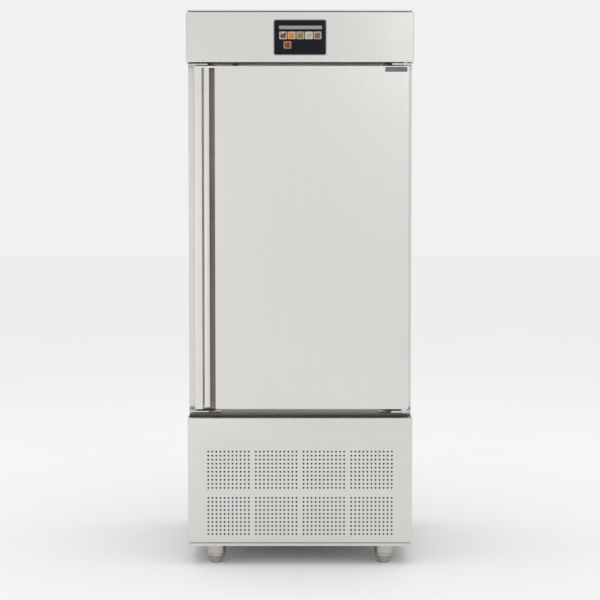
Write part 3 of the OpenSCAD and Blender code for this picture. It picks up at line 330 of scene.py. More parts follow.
def tinted_below(material, axis, limit, colour, strength):
    """Blends another colour into a finish below a limit along an axis of the object."""
    tree = material.node_tree
    mask = place_group(tree, below_a_limit, Axis=axis, Limit=limit)["Mask"]
    base = tree.nodes["Principled BSDF"].inputs["Base Color"]
    tree.links.new(blend(tree, mask, base.links[0].from_socket, colour, strength), base)
    return material


def brushed(colour, stretch, rough=(0.26, 0.40), tone=0.10, marks=0.10, dust=0.05, metallic=1.0,
            depth=0.00002):
    """A metal sheet with a grain, soft handling marks and a little dust."""
    material, tree, shader = principled(metallic)
    grain = place_group(tree, brushed_lines, Stretch=stretch)
    wiped = place_group(tree, handling_marks, Size=3.5)["Marks"]
    dusty = place_group(tree, settled_dust, Amount=1.0)["Dust"]
    base = blend(tree, grain["Lines"], colour, shade(colour, 0.80), tone)
    base = blend(tree, grain["Drift"], base, shade(colour, 1.12), tone)
    base = blend(tree, wiped, base, shade(colour, 0.86), marks)
    base = blend(tree, dusty, base, (0.50, 0.48, 0.44), dust)
    tree.links.new(base, shader.inputs["Base Color"])
    both = maths(tree, "MULTIPLY", maths(tree, "ADD", grain["Lines"], wiped), 0.5)
    tree.links.new(remap(tree, both, 0.1, 0.9, *rough), shader.inputs["Roughness"])
    bump(tree, shader, grain["Lines"], depth)
    return material


def mottled(colour, rough=(0.4, 0.55), second=None, amount=0.12, fine=900.0, coarse=60.0,
            metallic=0.0, coat=0.0, depth=0.00004, dust=0.08, patches=0.5):
    """Plastic, paint, rubber, cast metal or zinc with its own mottling and dust."""
    material, tree, shader = principled(metallic, coat)
    cells = place_group(tree, mottle, Fine=fine, Coarse=coarse)
    wiped = place_group(tree, handling_marks, Size=9.0)["Marks"]
    dusty = place_group(tree, settled_dust, Amount=1.0)["Dust"]
    second = second or shade(colour, 0.72)
    base = blend(tree, cells["Grain"], colour, second, amount)
    base = blend(tree, cells["Patches"], base, shade(colour, 1.25), amount * patches)
    base = blend(tree, wiped, base, shade(second, 0.9), amount)
    base = blend(tree, dusty, base, (0.42, 0.40, 0.37), dust)
    tree.links.new(base, shader.inputs["Base Color"])
    tree.links.new(remap(tree, wiped, 0.1, 0.9, *rough), shader.inputs["Roughness"])
    bump(tree, shader, cells["Grain"], depth)
    return material


def colours():
    """The colours in the sidebar."""
    return bpy.context.scene.chiller_colours


def sizes():
    """The sizes in the sidebar."""
    return bpy.context.scene.chiller_sizes


def once(build):
    """Builds a finish the first time that a piece asks for it, and names it."""
    name = FINISH + build.__name__

    def finish():
        material = bpy.data.materials.get(name)
        if material is None:
            material = build()
            material.name = name
        return material
    finish.__doc__ = build.__doc__
    return finish


UPRIGHT = (650.0, 650.0, 9.0)
CROSSWISE = (9.0, 650.0, 650.0)


@once
def outer_steel():
    """Satin stainless sheet of the fascia and the lower panel, brushed across."""
    return brushed(tuple(colours().steel), CROSSWISE)


@once
def side_steel():
    """Satin stainless sheet of the sides, brushed upright."""
    return brushed(tuple(colours().steel), UPRIGHT)


@once
def frame_steel_painted_shade():
    """The front frame, brushed as the sides, with grime in the crack under the door."""
    unshaded_steel = brushed(tuple(colours().steel), UPRIGHT)
    # Painted shade: a dark colour blended into the steel below the door's bottom edge.
    return tinted_below(unshaded_steel, (0.0, 0.0, 1.0), lows("door_skin").z, (0.13, 0.125, 0.12), 0.65)


@once
def lid_steel():
    """Stainless sheet of the lid and the base, with more dust on it."""
    return brushed(shade(colours().steel, 0.98), CROSSWISE, dust=0.16)


@once
def door_steel():
    """Satin stainless sheet of the door, brushed upright."""
    return brushed(tuple(colours().door), UPRIGHT, rough=(0.28, 0.42))


@once
def grip_steel():
    """The grip, polished a little by hands."""
    return brushed((0.74, 0.72, 0.68), UPRIGHT, rough=(0.20, 0.32), marks=0.2)


@once
def trough_steel_painted_shade_and_light():
    """Shaded, bead-blasted sheet of the handle trough, bright in the slot beside the grip."""
    # Painted shade: the trough's dark colour stands in for the shade of the recess.
    shaded = mottled((0.30, 0.27, 0.255), (0.5, 0.62), amount=0.15, fine=1400.0,
                     metallic=0.85, depth=0.00002)
    # Painted light: a pale colour blended in along the slot beside the grip, where the slot lies in
    # shade.
    painted_light_end = lows("handle_grip").x + mm(6)
    return tinted_below(shaded, (1.0, 0.0, 0.0), painted_light_end, (0.76, 0.70, 0.67), 1.0)


@once
def dark_fins_painted_shade():
    """Black-coated aluminium fins of the condenser."""
    return brushed((0.045, 0.045, 0.047), (8.0, 400.0, 400.0), rough=(0.5, 0.65), metallic=0.2,
                   dust=0.2)


@once
def cabin_steel():
    """Stainless sheet inside the cabin, with a bright rolled finish."""
    return brushed(tuple(colours().liner), UPRIGHT, rough=(0.30, 0.42), tone=0.06)


@once
def bracket_steel():
    """Thick stainless plate of the hinges, dull at its cut edges."""
    return brushed((0.62, 0.61, 0.59), CROSSWISE, rough=(0.24, 0.38), marks=0.2)


@once
def foot_steel():
    """Turned stainless feet, with fine tool rings and scuffs."""
    return brushed((0.52, 0.50, 0.47), (60.0, 60.0, 1400.0), rough=(0.12, 0.22), marks=0.25)


@once
def zinc_sheet():
    """Galvanised sheet with its spangle."""
    return mottled(tuple(colours().zinc), (0.32, 0.5), second=(0.36, 0.38, 0.40), amount=0.4,
                   coarse=55.0, metallic=1.0, patches=0.8)


@once
def wire_chrome():
    """Bright wire of the guards and the screw heads."""
    return mottled((0.76, 0.76, 0.75), (0.12, 0.24), amount=0.12, fine=400.0, metallic=1.0,
                   depth=0.00001)


@once
def fin_aluminium():
    """Thin aluminium fins, dull and a little dusty."""
    return brushed((0.72, 0.74, 0.76), (8.0, 400.0, 400.0), rough=(0.32, 0.5), dust=0.2)


@once
def pipe_copper():
    """Drawn copper pipe, darker where it has been touched."""
    return mottled(tuple(colours().copper), (0.22, 0.42), second=(0.36, 0.15, 0.08), amount=0.35,
                   fine=260.0, coarse=30.0, metallic=1.0, depth=0.00001)


@once
def valve_brass():
    """Machined brass."""
    return mottled((0.70, 0.54, 0.25), (0.22, 0.38), second=(0.45, 0.32, 0.12), amount=0.25,
                   metallic=1.0, depth=0.00001)


@once
def black_paint():
    """Satin black paint over steel, with orange peel and dust."""
    return mottled((0.025, 0.025, 0.028), (0.30, 0.46), amount=0.3, fine=500.0, coat=0.3,
                   depth=0.00003, dust=0.25)


@once
def vessel_paint():
    """Dark powder coat of the receiver."""
    return mottled((0.05, 0.05, 0.055), (0.42, 0.58), amount=0.3, fine=700.0, depth=0.00006,
                   dust=0.2)


@once
def motor_paint():
    """Black painted motor housings."""
    return mottled((0.05, 0.05, 0.055), (0.34, 0.5), amount=0.25, dust=0.15)


@once
def fan_plastic():
    """Moulded black plastic of the impellers."""
    return mottled((0.03, 0.03, 0.032), (0.36, 0.52), amount=0.3, dust=0.2)


@once
def iron_core():
    """Stacked motor iron inside the compressor."""
    return mottled((0.25, 0.24, 0.23), (0.5, 0.7), second=(0.30, 0.16, 0.09), amount=0.3,
                   metallic=1.0)


@once
def foam():
    """Cut polyurethane foam with its pores."""
    return mottled((0.78, 0.70, 0.48), (0.85, 0.95), second=(0.56, 0.44, 0.24), amount=0.35,
                   fine=700.0, coarse=240.0, depth=0.0004, dust=0.0)


@once
def strip_plastic():
    """Dark plastic strip round the cabin's mouth."""
    return mottled((0.16, 0.16, 0.17), (0.5, 0.64), amount=0.15)


@once
def gasket_rubber():
    """Soft grey magnetic gasket."""
    return mottled((0.20, 0.20, 0.21), (0.6, 0.78), amount=0.2, fine=500.0, dust=0.1)


@once
def white_plastic():
    """Off-white bearing plastic."""
    return mottled((0.82, 0.82, 0.79), (0.35, 0.5), second=(0.66, 0.63, 0.56), amount=0.2,
                   dust=0.1)


@once
def dark_plastic():
    """Charcoal plastic of the display housing and the switch."""
    return mottled((0.05, 0.05, 0.055), (0.42, 0.58), amount=0.25)


@once
def grey_plastic():
    """Grey plastic of the drain, the gland and the contactors."""
    return mottled((0.30, 0.31, 0.32), (0.42, 0.58), amount=0.16)


@once
def pale_plastic():
    """Light grey fronts of the contactors."""
    return mottled((0.58, 0.59, 0.58), (0.42, 0.56), amount=0.12)


@once
def mount_rubber():
    """Black rubber of the compressor mounts."""
    return mottled((0.02, 0.02, 0.02), (0.7, 0.85), amount=0.3, dust=0.2)


@once
def cabinet_grey():
    """Textured grey paint of the electrical box."""
    return mottled((0.55, 0.56, 0.56), (0.42, 0.56), amount=0.1, fine=1200.0, depth=0.00008)


@once
def board_green():
    """Solder mask of the circuit board, with its faint tracks."""
    return mottled((0.03, 0.20, 0.09), (0.25, 0.38), second=(0.015, 0.10, 0.05), amount=0.6,
                   fine=240.0, coarse=420.0, coat=0.4, depth=0.00001, dust=0.0)


@once
def badge_plate_paint():
    """Bare dark plate at the door's corner, satin, with a faint upright sheen."""
    return brushed((0.15, 0.16, 0.20), UPRIGHT, rough=(0.3, 0.42), metallic=0.6, tone=0.2)


@once
def screen_glass():
    """Dark glass of the touchscreen, with finger marks in its gloss."""
    material, tree, shader = principled(specular=0.12)
    dark = tuple(colours().screen)
    wiped = place_group(tree, handling_marks, Size=22.0)["Marks"]
    tree.links.new(blend(tree, wiped, dark, shade(dark, 2.2), 0.5), shader.inputs["Base Color"])
    tree.links.new(remap(tree, wiped, 0.2, 0.9, 0.10, 0.22), shader.inputs["Roughness"])
    bump(tree, shader, wiped, 0.00001)
    return material


@once
def screen_edge_painted_highlight():
    """Light printed edge round the touchscreen."""
    return mottled((0.60, 0.60, 0.60), (0.3, 0.4), amount=0.08, dust=0.0)


@once
def title_bar():
    """Bare title bar on the screen."""
    return mottled((0.31, 0.27, 0.24), (0.3, 0.4), amount=0.10, fine=300.0, coarse=160.0, dust=0.0)


def picture_tile(number, plate_colour, food):
    """One button on the screen: a soft heap of one colour on another, made up for this part."""
    material, tree, shader = principled(specular=0.1)
    material.name = FINISH + "picture_tile_%d" % number
    shape = tree.nodes.new("ShaderNodeAttribute")
    shape.attribute_name = "heap"
    place, wobble = object_place(tree), 0.26
    edge = noise_in(tree, place, 130.0 + 40.0 * number, 3.0)
    edge = remap(tree, edge, 0.3, 0.7, -wobble, wobble)
    heap = remap(tree, maths(tree, "ADD", shape.outputs["Fac"], edge), 0.20, 0.38)
    lumps = remap(tree, noise_in(tree, place, 420.0, 4.0), 0.45, 0.68)
    base = blend(tree, heap, plate_colour, food)
    base = blend(tree, lumps, base, shade(food, 0.4), 0.55)
    tree.links.new(base, shader.inputs["Base Color"])
    tree.links.new(remap(tree, lumps, 0.0, 1.0, 0.28, 0.4), shader.inputs["Roughness"])
    return material


# Shapes


def facing_front(y):
    """Places (across, up, depth) on a face that looks to the front."""
    return lambda u, v, d: (u, y + d, v)


def facing_back(y):
    """Places (across, up, depth) on a face that looks to the back."""
    return lambda u, v, d: (u, y - d, v)


def facing_up(z):
    """Places (across, back, depth) on a face that looks up."""
    return lambda u, v, d: (u, v, z - d)


def standing(u, v, d):
    """Places (across, back, height), for what stands upright."""
    return u, v, d


def rounded(rect, inset, corner, steps=4):
    """Points round a rounded rectangle (u0, v0, u1, v1), drawn in by inset."""
    u0, v0, u1, v1 = rect
    r = max(corner - inset, 0.0002)
    a = inset + r
    points = []
    for u, v, start in ((u1 - a, v1 - a, 0), (u0 + a, v1 - a, 90), (u0 + a, v0 + a, 180),
                        (u1 - a, v0 + a, 270)):
        for i in range(steps + 1):
            t = math.radians(start + 90.0 * i / steps)
            points.append((u + r * math.cos(t), v + r * math.sin(t)))
    return points


def turns(steps):
    """Angles that divide a full turn."""
    return [math.tau * i / steps for i in range(steps)]


def circle(u, v, radius, steps=24):
    """Points round a circle."""
    return [(u + radius * math.cos(a), v + radius * math.sin(a)) for a in turns(steps)]


def ring(bm, points, place, depth):
    """New vertices for the points of a loop at one depth."""
    return [bm.verts.new(place(u, v, depth)) for u, v in points]


def skin(bm, rings, closed=True, wrap=False):
    """Faces between neighbouring rings."""
    count, faces = len(rings[0]), []
    following = rings[1:] + (rings[:1] if wrap else [])
    for a, b in zip(rings, following):
        for i in range(count if closed else count - 1):
            j = (i + 1) % count
            faces.append(bm.faces.new((a[i], a[j], b[j], b[i])))
    return faces


def paint(faces, material):
    """Gives faces one of their object's materials."""
    for face in faces:
        face.material_index = material


def cap(bm, loops):
    """Fills the first loop, leaving out the loops that are holes in it."""
    flat = [v for loop in loops for v in loop]
    for corners in tessellate_polygon([[v.co for v in loop] for loop in loops]):
        bm.faces.new([flat[i] for i in corners])


def solid(bm, rings):
    """Faces between rings, with the first and the last filled."""
    skin(bm, rings)
    cap(bm, [rings[0]])
    cap(bm, [rings[-1]])


def bar(bm, section, place, ends):
    """Carries a section straight from one depth to another."""
    solid(bm, [ring(bm, section, place, d) for d in ends])


def plate(bm, outline, place, depths, holes=(), bevel=0.0):
    """A flat plate with holes, its outer edges broken by a small bevel."""
    near, far = depths
    front = [ring(bm, h, place, near) for h in holes]
    back = [ring(bm, h, place, far) for h in holes]
    outer_front = ring(bm, outline, place, near)
    outer_back = ring(bm, outline, place, far)
    cap(bm, [outer_front] + front)
    cap(bm, [outer_back] + back)
    skin(bm, [outer_front, outer_back])
    for a, b in zip(front, back):
        skin(bm, [a, b])
    if bevel:
        edges = {e for v in outer_front + outer_back for e in v.link_edges}
        rim = set(outer_front), set(outer_back)
        edges = [e for e in edges if any(e.verts[0] in s and e.verts[1] in s for s in rim)
                 and len(e.link_faces) == 2 and e.calc_face_angle(0.0) > 0.5]
        bmesh.ops.bevel(bm, geom=edges, offset=bevel, segments=2, profile=0.5,
                        affect="EDGES", clamp_overlap=True)


def fold_section(depth, bend, sheet, steps=4):
    """Inset and depth of the outer and inner faces of a folded edge."""
    inner = max(bend - sheet, 0.0003)
    angles = [math.pi / 2 * i / steps for i in range(steps + 1)]
    outside = [(0.0, depth)] + [(bend * (1 - math.cos(a)), bend * (1 - math.sin(a)))
                                for a in angles]
    inside = [(bend - inner * math.cos(a), bend - inner * math.sin(a))
              for a in reversed(angles)] + [(sheet, depth)]
    return outside, inside


def opened(points, span, low):
    """Breaks a rounded rectangle's loop between two places on its lower edge."""
    quarter = len(points) // 4
    turned = points[3 * quarter:] + points[:3 * quarter]
    return [(span[1], low)] + turned + [(span[0], low)]


def tray(bm, rect, depth, place, holes=(), notch=None, bend=None, corner=None):
    """A folded sheet tray. notch (u0, u1, top) cuts its lower edge and face open."""
    s = sizes()
    bend, corner = bend or s.bend, corner or s.corner
    outside, inside = fold_section(depth, bend, s.sheet)
    rows = []
    for inset, d in outside + inside:
        points = rounded(rect, inset, corner)
        if notch:
            points = opened(points, notch, rect[1] + inset)
        rows.append(ring(bm, points, place, d))
    outer, inner = rows[:len(outside)], rows[len(outside):]
    whole = notch is None
    skin(bm, outer, whole)
    skin(bm, inner, whole)
    skin(bm, [inner[-1], outer[0]], whole)
    front, back = outer[-1], inner[0]
    faces = []
    for edge, d in ((front, 0.0), (back, s.sheet)):
        top = ring(bm, [(notch[0], notch[2]), (notch[1], notch[2])], place, d) if notch else []
        inner_loops = [ring(bm, h, place, d) for h in holes]
        cap(bm, [edge + top] + inner_loops)
        faces.append((edge, top, inner_loops))
    for a, b in zip(faces[0][2], faces[1][2]):
        skin(bm, [a, b])
    if notch:
        path = [[f[0][-1]] + f[1] + [f[0][0]] for f in faces]
        skin(bm, path, closed=False)
        for end in (0, -1):
            bm.faces.new([row[end] for row in outer + inner])


def sweep(bm, rect, corner, section, place, wrap=True):
    """Carries a closed section of (inset, depth) points round a rounded rectangle."""
    skin(bm, [ring(bm, rounded(rect, inset, corner), place, d) for inset, d in section],
         wrap=wrap)


def add(bm, part):
    """Adds a finished part to a mesh."""
    data = bpy.data.meshes.new("part")
    part.to_mesh(data)
    part.free()
    bm.from_mesh(data)
    bpy.data.meshes.remove(data)


def block(bm, low, high, bevel=0.0008, material=0, segments=2):
    """A block between two corners, with rounded edges."""
    part = bmesh.new()
    low, high = Vector(low), Vector(high)
    size, middle = high - low, (low + high) / 2
    bmesh.ops.create_cube(part, size=1.0)
    bmesh.ops.scale(part, vec=size, verts=part.verts)
    width = min(bevel, min(size) * 0.45)
    if width > 0.0:
        bmesh.ops.bevel(part, geom=list(part.edges), offset=width, segments=segments,
                        profile=0.5, affect="EDGES", clamp_overlap=True)
    bmesh.ops.translate(part, vec=middle, verts=part.verts)
    paint(part.faces, material)
    add(bm, part)


AXES = {"X": lambda a, b, h: (h, a, b), "-X": lambda a, b, h: (-h, a, b),
        "Y": lambda a, b, h: (a, h, b), "-Y": lambda a, b, h: (a, -h, b),
        "Z": lambda a, b, h: (a, b, h), "-Z": lambda a, b, h: (a, b, -h)}


def lathe(bm, profile, base, axis="Z", steps=36, material=0, hollow=False):
    """Turns (radius, height) points about an axis through base. The ends are closed, or with
    hollow the last point joins the first."""
    base, turn = Vector(base), AXES[axis]
    rows = [[bm.verts.new(base + Vector(turn(u, v, height)))
             for u, v in circle(0.0, 0.0, max(radius, 0.00005), steps)]
            for radius, height in profile]
    faces = skin(bm, rows, wrap=hollow)
    if not hollow:
        faces += [bm.faces.new(rows[0]), bm.faces.new(rows[-1])]
    paint(faces, material)


def washer(bm, radii, heights, base, axis="Z", steps=36, soft=0.0004):
    """A ring or short tube with softened edges."""
    (a, b), (low, high) = radii, heights
    profile = [(a + soft, low), (b - soft, low), (b, low + soft), (b, high - soft),
               (b - soft, high), (a + soft, high), (a, high - soft), (a, low + soft)]
    lathe(bm, profile, base, axis, steps, hollow=True)


def route(points, bend, steps=6):
    """A path through points with rounded corners."""
    points = [Vector(p) for p in points]
    path = [points[0]]
    for a, b, c in zip(points, points[1:], points[2:]):
        into, away = a - b, c - b
        reach = min(bend, into.length * 0.48, away.length * 0.48)
        start, end = b + into.normalized() * reach, b + away.normalized() * reach
        for i in range(steps + 1):
            t = i / steps
            path.append(start * (1 - t) ** 2 + b * 2 * t * (1 - t) + end * t ** 2)
    path.append(points[-1])
    return path


def tube(bm, path, radius, steps=12, closed=False, material=0):
    """A round tube along a path."""
    path = [Vector(p) for p in path]
    count = len(path)
    side, rows = None, []
    for i, point in enumerate(path):
        ahead = path[(i + 1) % count] if closed or i < count - 1 else point
        behind = path[i - 1] if closed or i else point
        along = (ahead - behind).normalized()
        if side is None:
            side = along.orthogonal().normalized()
        side = (side - along * side.dot(along)).normalized()
        other = along.cross(side)
        rows.append([bm.verts.new(point + side * u + other * v)
                     for u, v in circle(0.0, 0.0, radius, steps)])
    faces = skin(bm, rows, wrap=closed)
    if not closed:
        faces += [bm.faces.new(rows[0]), bm.faces.new(rows[-1])]
    paint(faces, material)


def hexagon(bm, across, heights, base, axis="Z", material=0):
    """A hexagonal nut with chamfered corners."""
    r = across / math.sqrt(3.0)
    low, high = heights
    chamfer = (high - low) * 0.15
    profile = [(r * 0.93, low), (r, low + chamfer), (r, high - chamfer), (r * 0.93, high)]
    lathe(bm, profile, base, axis, 6, material)


def screw_head(bm, base, axis, radius, height, material=0):
    """A domed head with a hexagonal socket."""
    dome = [(radius, 0.0), (radius, height * 0.35), (radius * 0.9, height * 0.75),
            (radius * 0.66, height)]
    socket = [(radius * 0.50, height), (radius * 0.46, height * 0.45), (0.0, height * 0.40)]
    lathe(bm, dome + socket, base, axis, 24, material)


def carve(bm, cutters):
    """Cuts blocks (low, high) out of a closed mesh."""
    knife = bmesh.new()
    for low, high in cutters:
        block(knife, low, high, bevel=0.0)
    objects = []
    for name, mesh in (("body", bm), ("knife", knife)):
        bmesh.ops.remove_doubles(mesh, verts=mesh.verts, dist=1e-6)
        bmesh.ops.recalc_face_normals(mesh, faces=mesh.faces)
        data = bpy.data.meshes.new(name)
        mesh.to_mesh(data)
        mesh.free()
        made = bpy.data.objects.new(name, data)
        bpy.context.scene.collection.objects.link(made)
        objects.append(made)
    body, tool = objects
    cut = body.modifiers.new("cut", "BOOLEAN")
    cut.operation, cut.object, cut.solver = "DIFFERENCE", tool, "EXACT"
    bpy.context.view_layer.update()
    result = bmesh.new()
    evaluated = body.evaluated_get(bpy.context.evaluated_depsgraph_get())
    data = evaluated.to_mesh()
    result.from_mesh(data)
    evaluated.to_mesh_clear()
    for made in objects:
        mesh = made.data
        bpy.data.objects.remove(made)
        bpy.data.meshes.remove(mesh)
    return result


def piece(name, bm, node, *materials, replace=True, smooth=32.0, weld=True):
    """Makes the finished object. It rides with the CAD node's body and takes its slot."""
    if weld:
        bmesh.ops.remove_doubles(bm, verts=bm.verts, dist=2e-6)
    bmesh.ops.recalc_face_normals(bm, faces=bm.faces)
    data = bpy.data.meshes.new(name)
    bm.to_mesh(data)
    bm.free()
    data.shade_smooth()
    data.set_sharp_from_angle(angle=math.radians(smooth))
    made = bpy.data.objects.new(name, data)
    bpy.context.scene.collection.objects.link(made)
    for material in materials:
        data.materials.append(material)
    if replace:
        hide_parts(node)
    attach(made, BODY[node])
    return made


def dress(node, material):
    """Gives a CAD node that keeps its own shape its finish."""
    shown = frame["nodes"][node]
    if not shown.material_slots:
        shown.data.materials.append(material)
    for holder in shown.material_slots:
        holder.material = material


class Piece:
    """What every operator of this file has in common."""
    bl_options = {"REGISTER", "UNDO"}


# Outside of the cabinet


class CHILLER_OT_lid(Piece, bpy.types.Operator):
    """Top cover with a turned-down edge"""
    bl_idname = "chiller.lid"
    bl_label = "Top cover"

    def execute(self, context):
        low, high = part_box("top_cover")
        bm = bmesh.new()
        tray(bm, (low.x, low.y, high.x, high.y), high.z - low.z, facing_up(high.z),
             bend=mm(2.0))
        piece("top_cover_sheet", bm, "top_cover", lid_steel())
        return {"FINISHED"}


class CHILLER_OT_cabinet(Piece, bpy.types.Operator):
    """Side panels, back, base, front frame, decks and foam, with rivets on the back"""
    bl_idname = "chiller.cabinet"
    bl_label = "Cabinet shell"

    def execute(self, context):
        for node, finish in (("side_panel_left", side_steel), ("side_panel_right", side_steel),
                             ("front_frame", frame_steel_painted_shade), ("base_frame", lid_steel),
                             ("foam_decks", zinc_sheet), ("cabinet_foam", foam),
                             ("door_foam", foam)):
            dress(node, finish())
        self.back_panel()
        self.breaker_strip()
        return {"FINISHED"}

    def back_panel(self):
        """Back sheet with three pressed fields and flush rivets."""
        low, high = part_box("back_panel")
        place, sheet = facing_back(high.y), sizes().sheet
        edge, between, fields, press = mm(42), mm(50), 3, sheet * 0.8
        pitch = (high.z - low.z - 2 * edge + between) / fields
        spots = [(low.x + edge, low.z + edge + i * pitch, high.x - edge,
                  low.z + edge + (i + 1) * pitch - between) for i in range(fields)]
        rim, gaps = mm(16), 8
        rivets = [(x, low.z + rim + i * (high.z - low.z - 2 * rim) / gaps)
                  for x in (low.x + rim, high.x - rim) for i in range(gaps + 1)]
        rivets += [(x * (high.x - rim) / 2, z) for x in (-1, 0, 1)
                   for z in (low.z + rim, high.z - rim)]
        pressed = ((0, 0), (mm(1), press * 0.12), (mm(3.5), press * 0.88), (mm(4.5), press))
        rivet = ((mm(4.2), 0), (mm(3.4), mm(0.7)), (mm(3.1), mm(0.7)), (mm(2.6), mm(0.25)),
                 (mm(1.4), mm(0.1)), (mm(1.2), mm(0.5)))
        forms = [[(rounded(spot, inset, mm(22), 8), d) for inset, d in pressed] for spot in spots]
        forms += [[(circle(u, v, r, 20), d) for r, d in rivet] for u, v in rivets]
        bm = bmesh.new()
        outline = rounded((low.x, low.z, high.x, high.z), 0.0, mm(1.5))
        front, back = (ring(bm, outline, place, d) for d in (0.0, sheet))
        skin(bm, [front, back])
        cap(bm, [back])
        openings = []
        for form in forms:
            rows = [ring(bm, points, place, d) for points, d in form]
            skin(bm, rows)
            cap(bm, [rows[-1]])
            openings.append(rows[0])
        cap(bm, [front] + openings)
        piece("back_panel_pressed", bm, "back_panel", zinc_sheet())

    def breaker_strip(self):
        """Plastic strip with a groove round the cabin's mouth."""
        low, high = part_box("breaker_strip")
        depth, wall, groove = high.y - low.y, mm(3.2), mm(1.2)
        bm = bmesh.new()
        sweep(bm, (low.x, low.z, high.x, high.z), mm(10),
              [(0, 0), (wall * 0.7, 0), (wall, wall * 0.4), (wall, depth * 0.4),
               (wall - groove, depth * 0.5), (wall - groove, depth), (0, depth)],
              facing_front(low.y))
        piece("breaker_strip_profile", bm, "breaker_strip", strip_plastic())


class CHILLER_OT_feet(Piece, bpy.types.Operator):
    """Turned feet and the sleeves that they screw into"""
    bl_idname = "chiller.feet"
    bl_label = "Feet and sleeves"

    def execute(self, context):
        sleeves = bmesh.new()
        base = lows("foot_sleeves").z
        rise, top, thread = highs("foot_sleeves").z - base, base - mm(0.3), mm(8)
        for corner in ("front_left", "front_right", "rear_left", "rear_right"):
            node = "foot_" + corner
            low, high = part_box(node)
            x, y, _ = centre(node)
            wide = (high.x - low.x) / 2
            foot = bmesh.new()
            lathe(foot, [(mm(17.5), 0), (mm(19.4), mm(0.4)), (mm(20), mm(1.4)),
                         (mm(20.2), mm(3)), (mm(19.2), mm(4.2)), (mm(19.4), mm(5.2)),
                         (wide * 0.94, mm(24)), (wide * 0.99, mm(26.5)), (wide, mm(28.5)),
                         (wide, top - mm(1.6)), (wide - mm(0.5), top - mm(0.5)),
                         (wide - mm(1.8), top), (thread, top), (thread, high.z - mm(1.2)),
                         (thread - mm(1.2), high.z)], (x, y, 0), steps=64)
            piece(node + "_turned", foot, node, foot_steel())
            washer(sleeves, (thread + mm(0.05), mm(32)), (0, rise), (x, y, base), steps=64,
                   soft=mm(1.4))
        piece("foot_sleeves_turned", sleeves, "foot_sleeves", foot_steel())
        return {"FINISHED"}


# Lower panel


class CHILLER_OT_lower_panel(Piece, bpy.types.Operator):
    """Folded lower panel with eight fields of round perforations"""
    bl_idname = "chiller.lower_panel"
    bl_label = "Perforated lower panel"

    columns, rows, fields, stacks = 11, 10, 4, 2

    def execute(self, context):
        low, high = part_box("lower_grille")
        s = sizes()
        pitch, radius = s.hole_pitch, s.hole / 2
        wide, tall = (self.columns - 1) * pitch, (self.rows - 1) * pitch
        gap_x, gap_z, first_z = mm(25), mm(35.6), low.z + mm(31.5)
        holes = []
        for i in range(self.fields):
            x0 = (i - (self.fields - 1) / 2) * (wide + gap_x) - wide / 2
            for j in range(self.stacks):
                z0 = first_z + j * (tall + gap_z)
                holes += [circle(x0 + c * pitch, z0 + r * pitch, radius, 14)
                          for c in range(self.columns) for r in range(self.rows)]
        bm = bmesh.new()
        tray(bm, (low.x, low.z, high.x, high.z), high.y - low.y, facing_front(low.y), holes)
        ear, inside = mm(12), s.sheet
        cuts = [((high.x - mm(2.2), low.y + mm(2.2), z), (high.x + mm(1), high.y + mm(1), z + ear))
                for z in (low.z + inside, high.z - inside - ear)]
        piece("lower_panel_sheet", carve(bm, cuts), "lower_grille", outer_steel())
        return {"FINISHED"}


# Control fascia


class CHILLER_OT_fascia(Piece, bpy.types.Operator):
    """Folded control fascia with the opening for the screen"""
    bl_idname = "chiller.fascia"
    bl_label = "Control fascia"

    def execute(self, context):
        low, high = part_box("control_fascia")
        glass_low, glass_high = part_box("display_glass")
        window = (glass_low.x - mm(0.2), glass_low.z - mm(0.2), glass_high.x + mm(0.2),
                  glass_high.z + mm(0.2))
        bm = bmesh.new()
        tray(bm, (low.x, low.z, high.x, high.z), high.y - low.y, facing_front(low.y),
             [rounded(window, 0.0, CHILLER_OT_screen.corner + mm(0.2), 6)])
        ear = mm(12)
        cuts = [((x, low.y + mm(2), high.z - mm(2.4)), (x + ear, high.y + mm(1), high.z + mm(1)))
                for x in (low.x + mm(1.2), high.x - mm(1.2) - ear)]
        piece("control_fascia_sheet", carve(bm, cuts), "control_fascia", outer_steel())
        return {"FINISHED"}


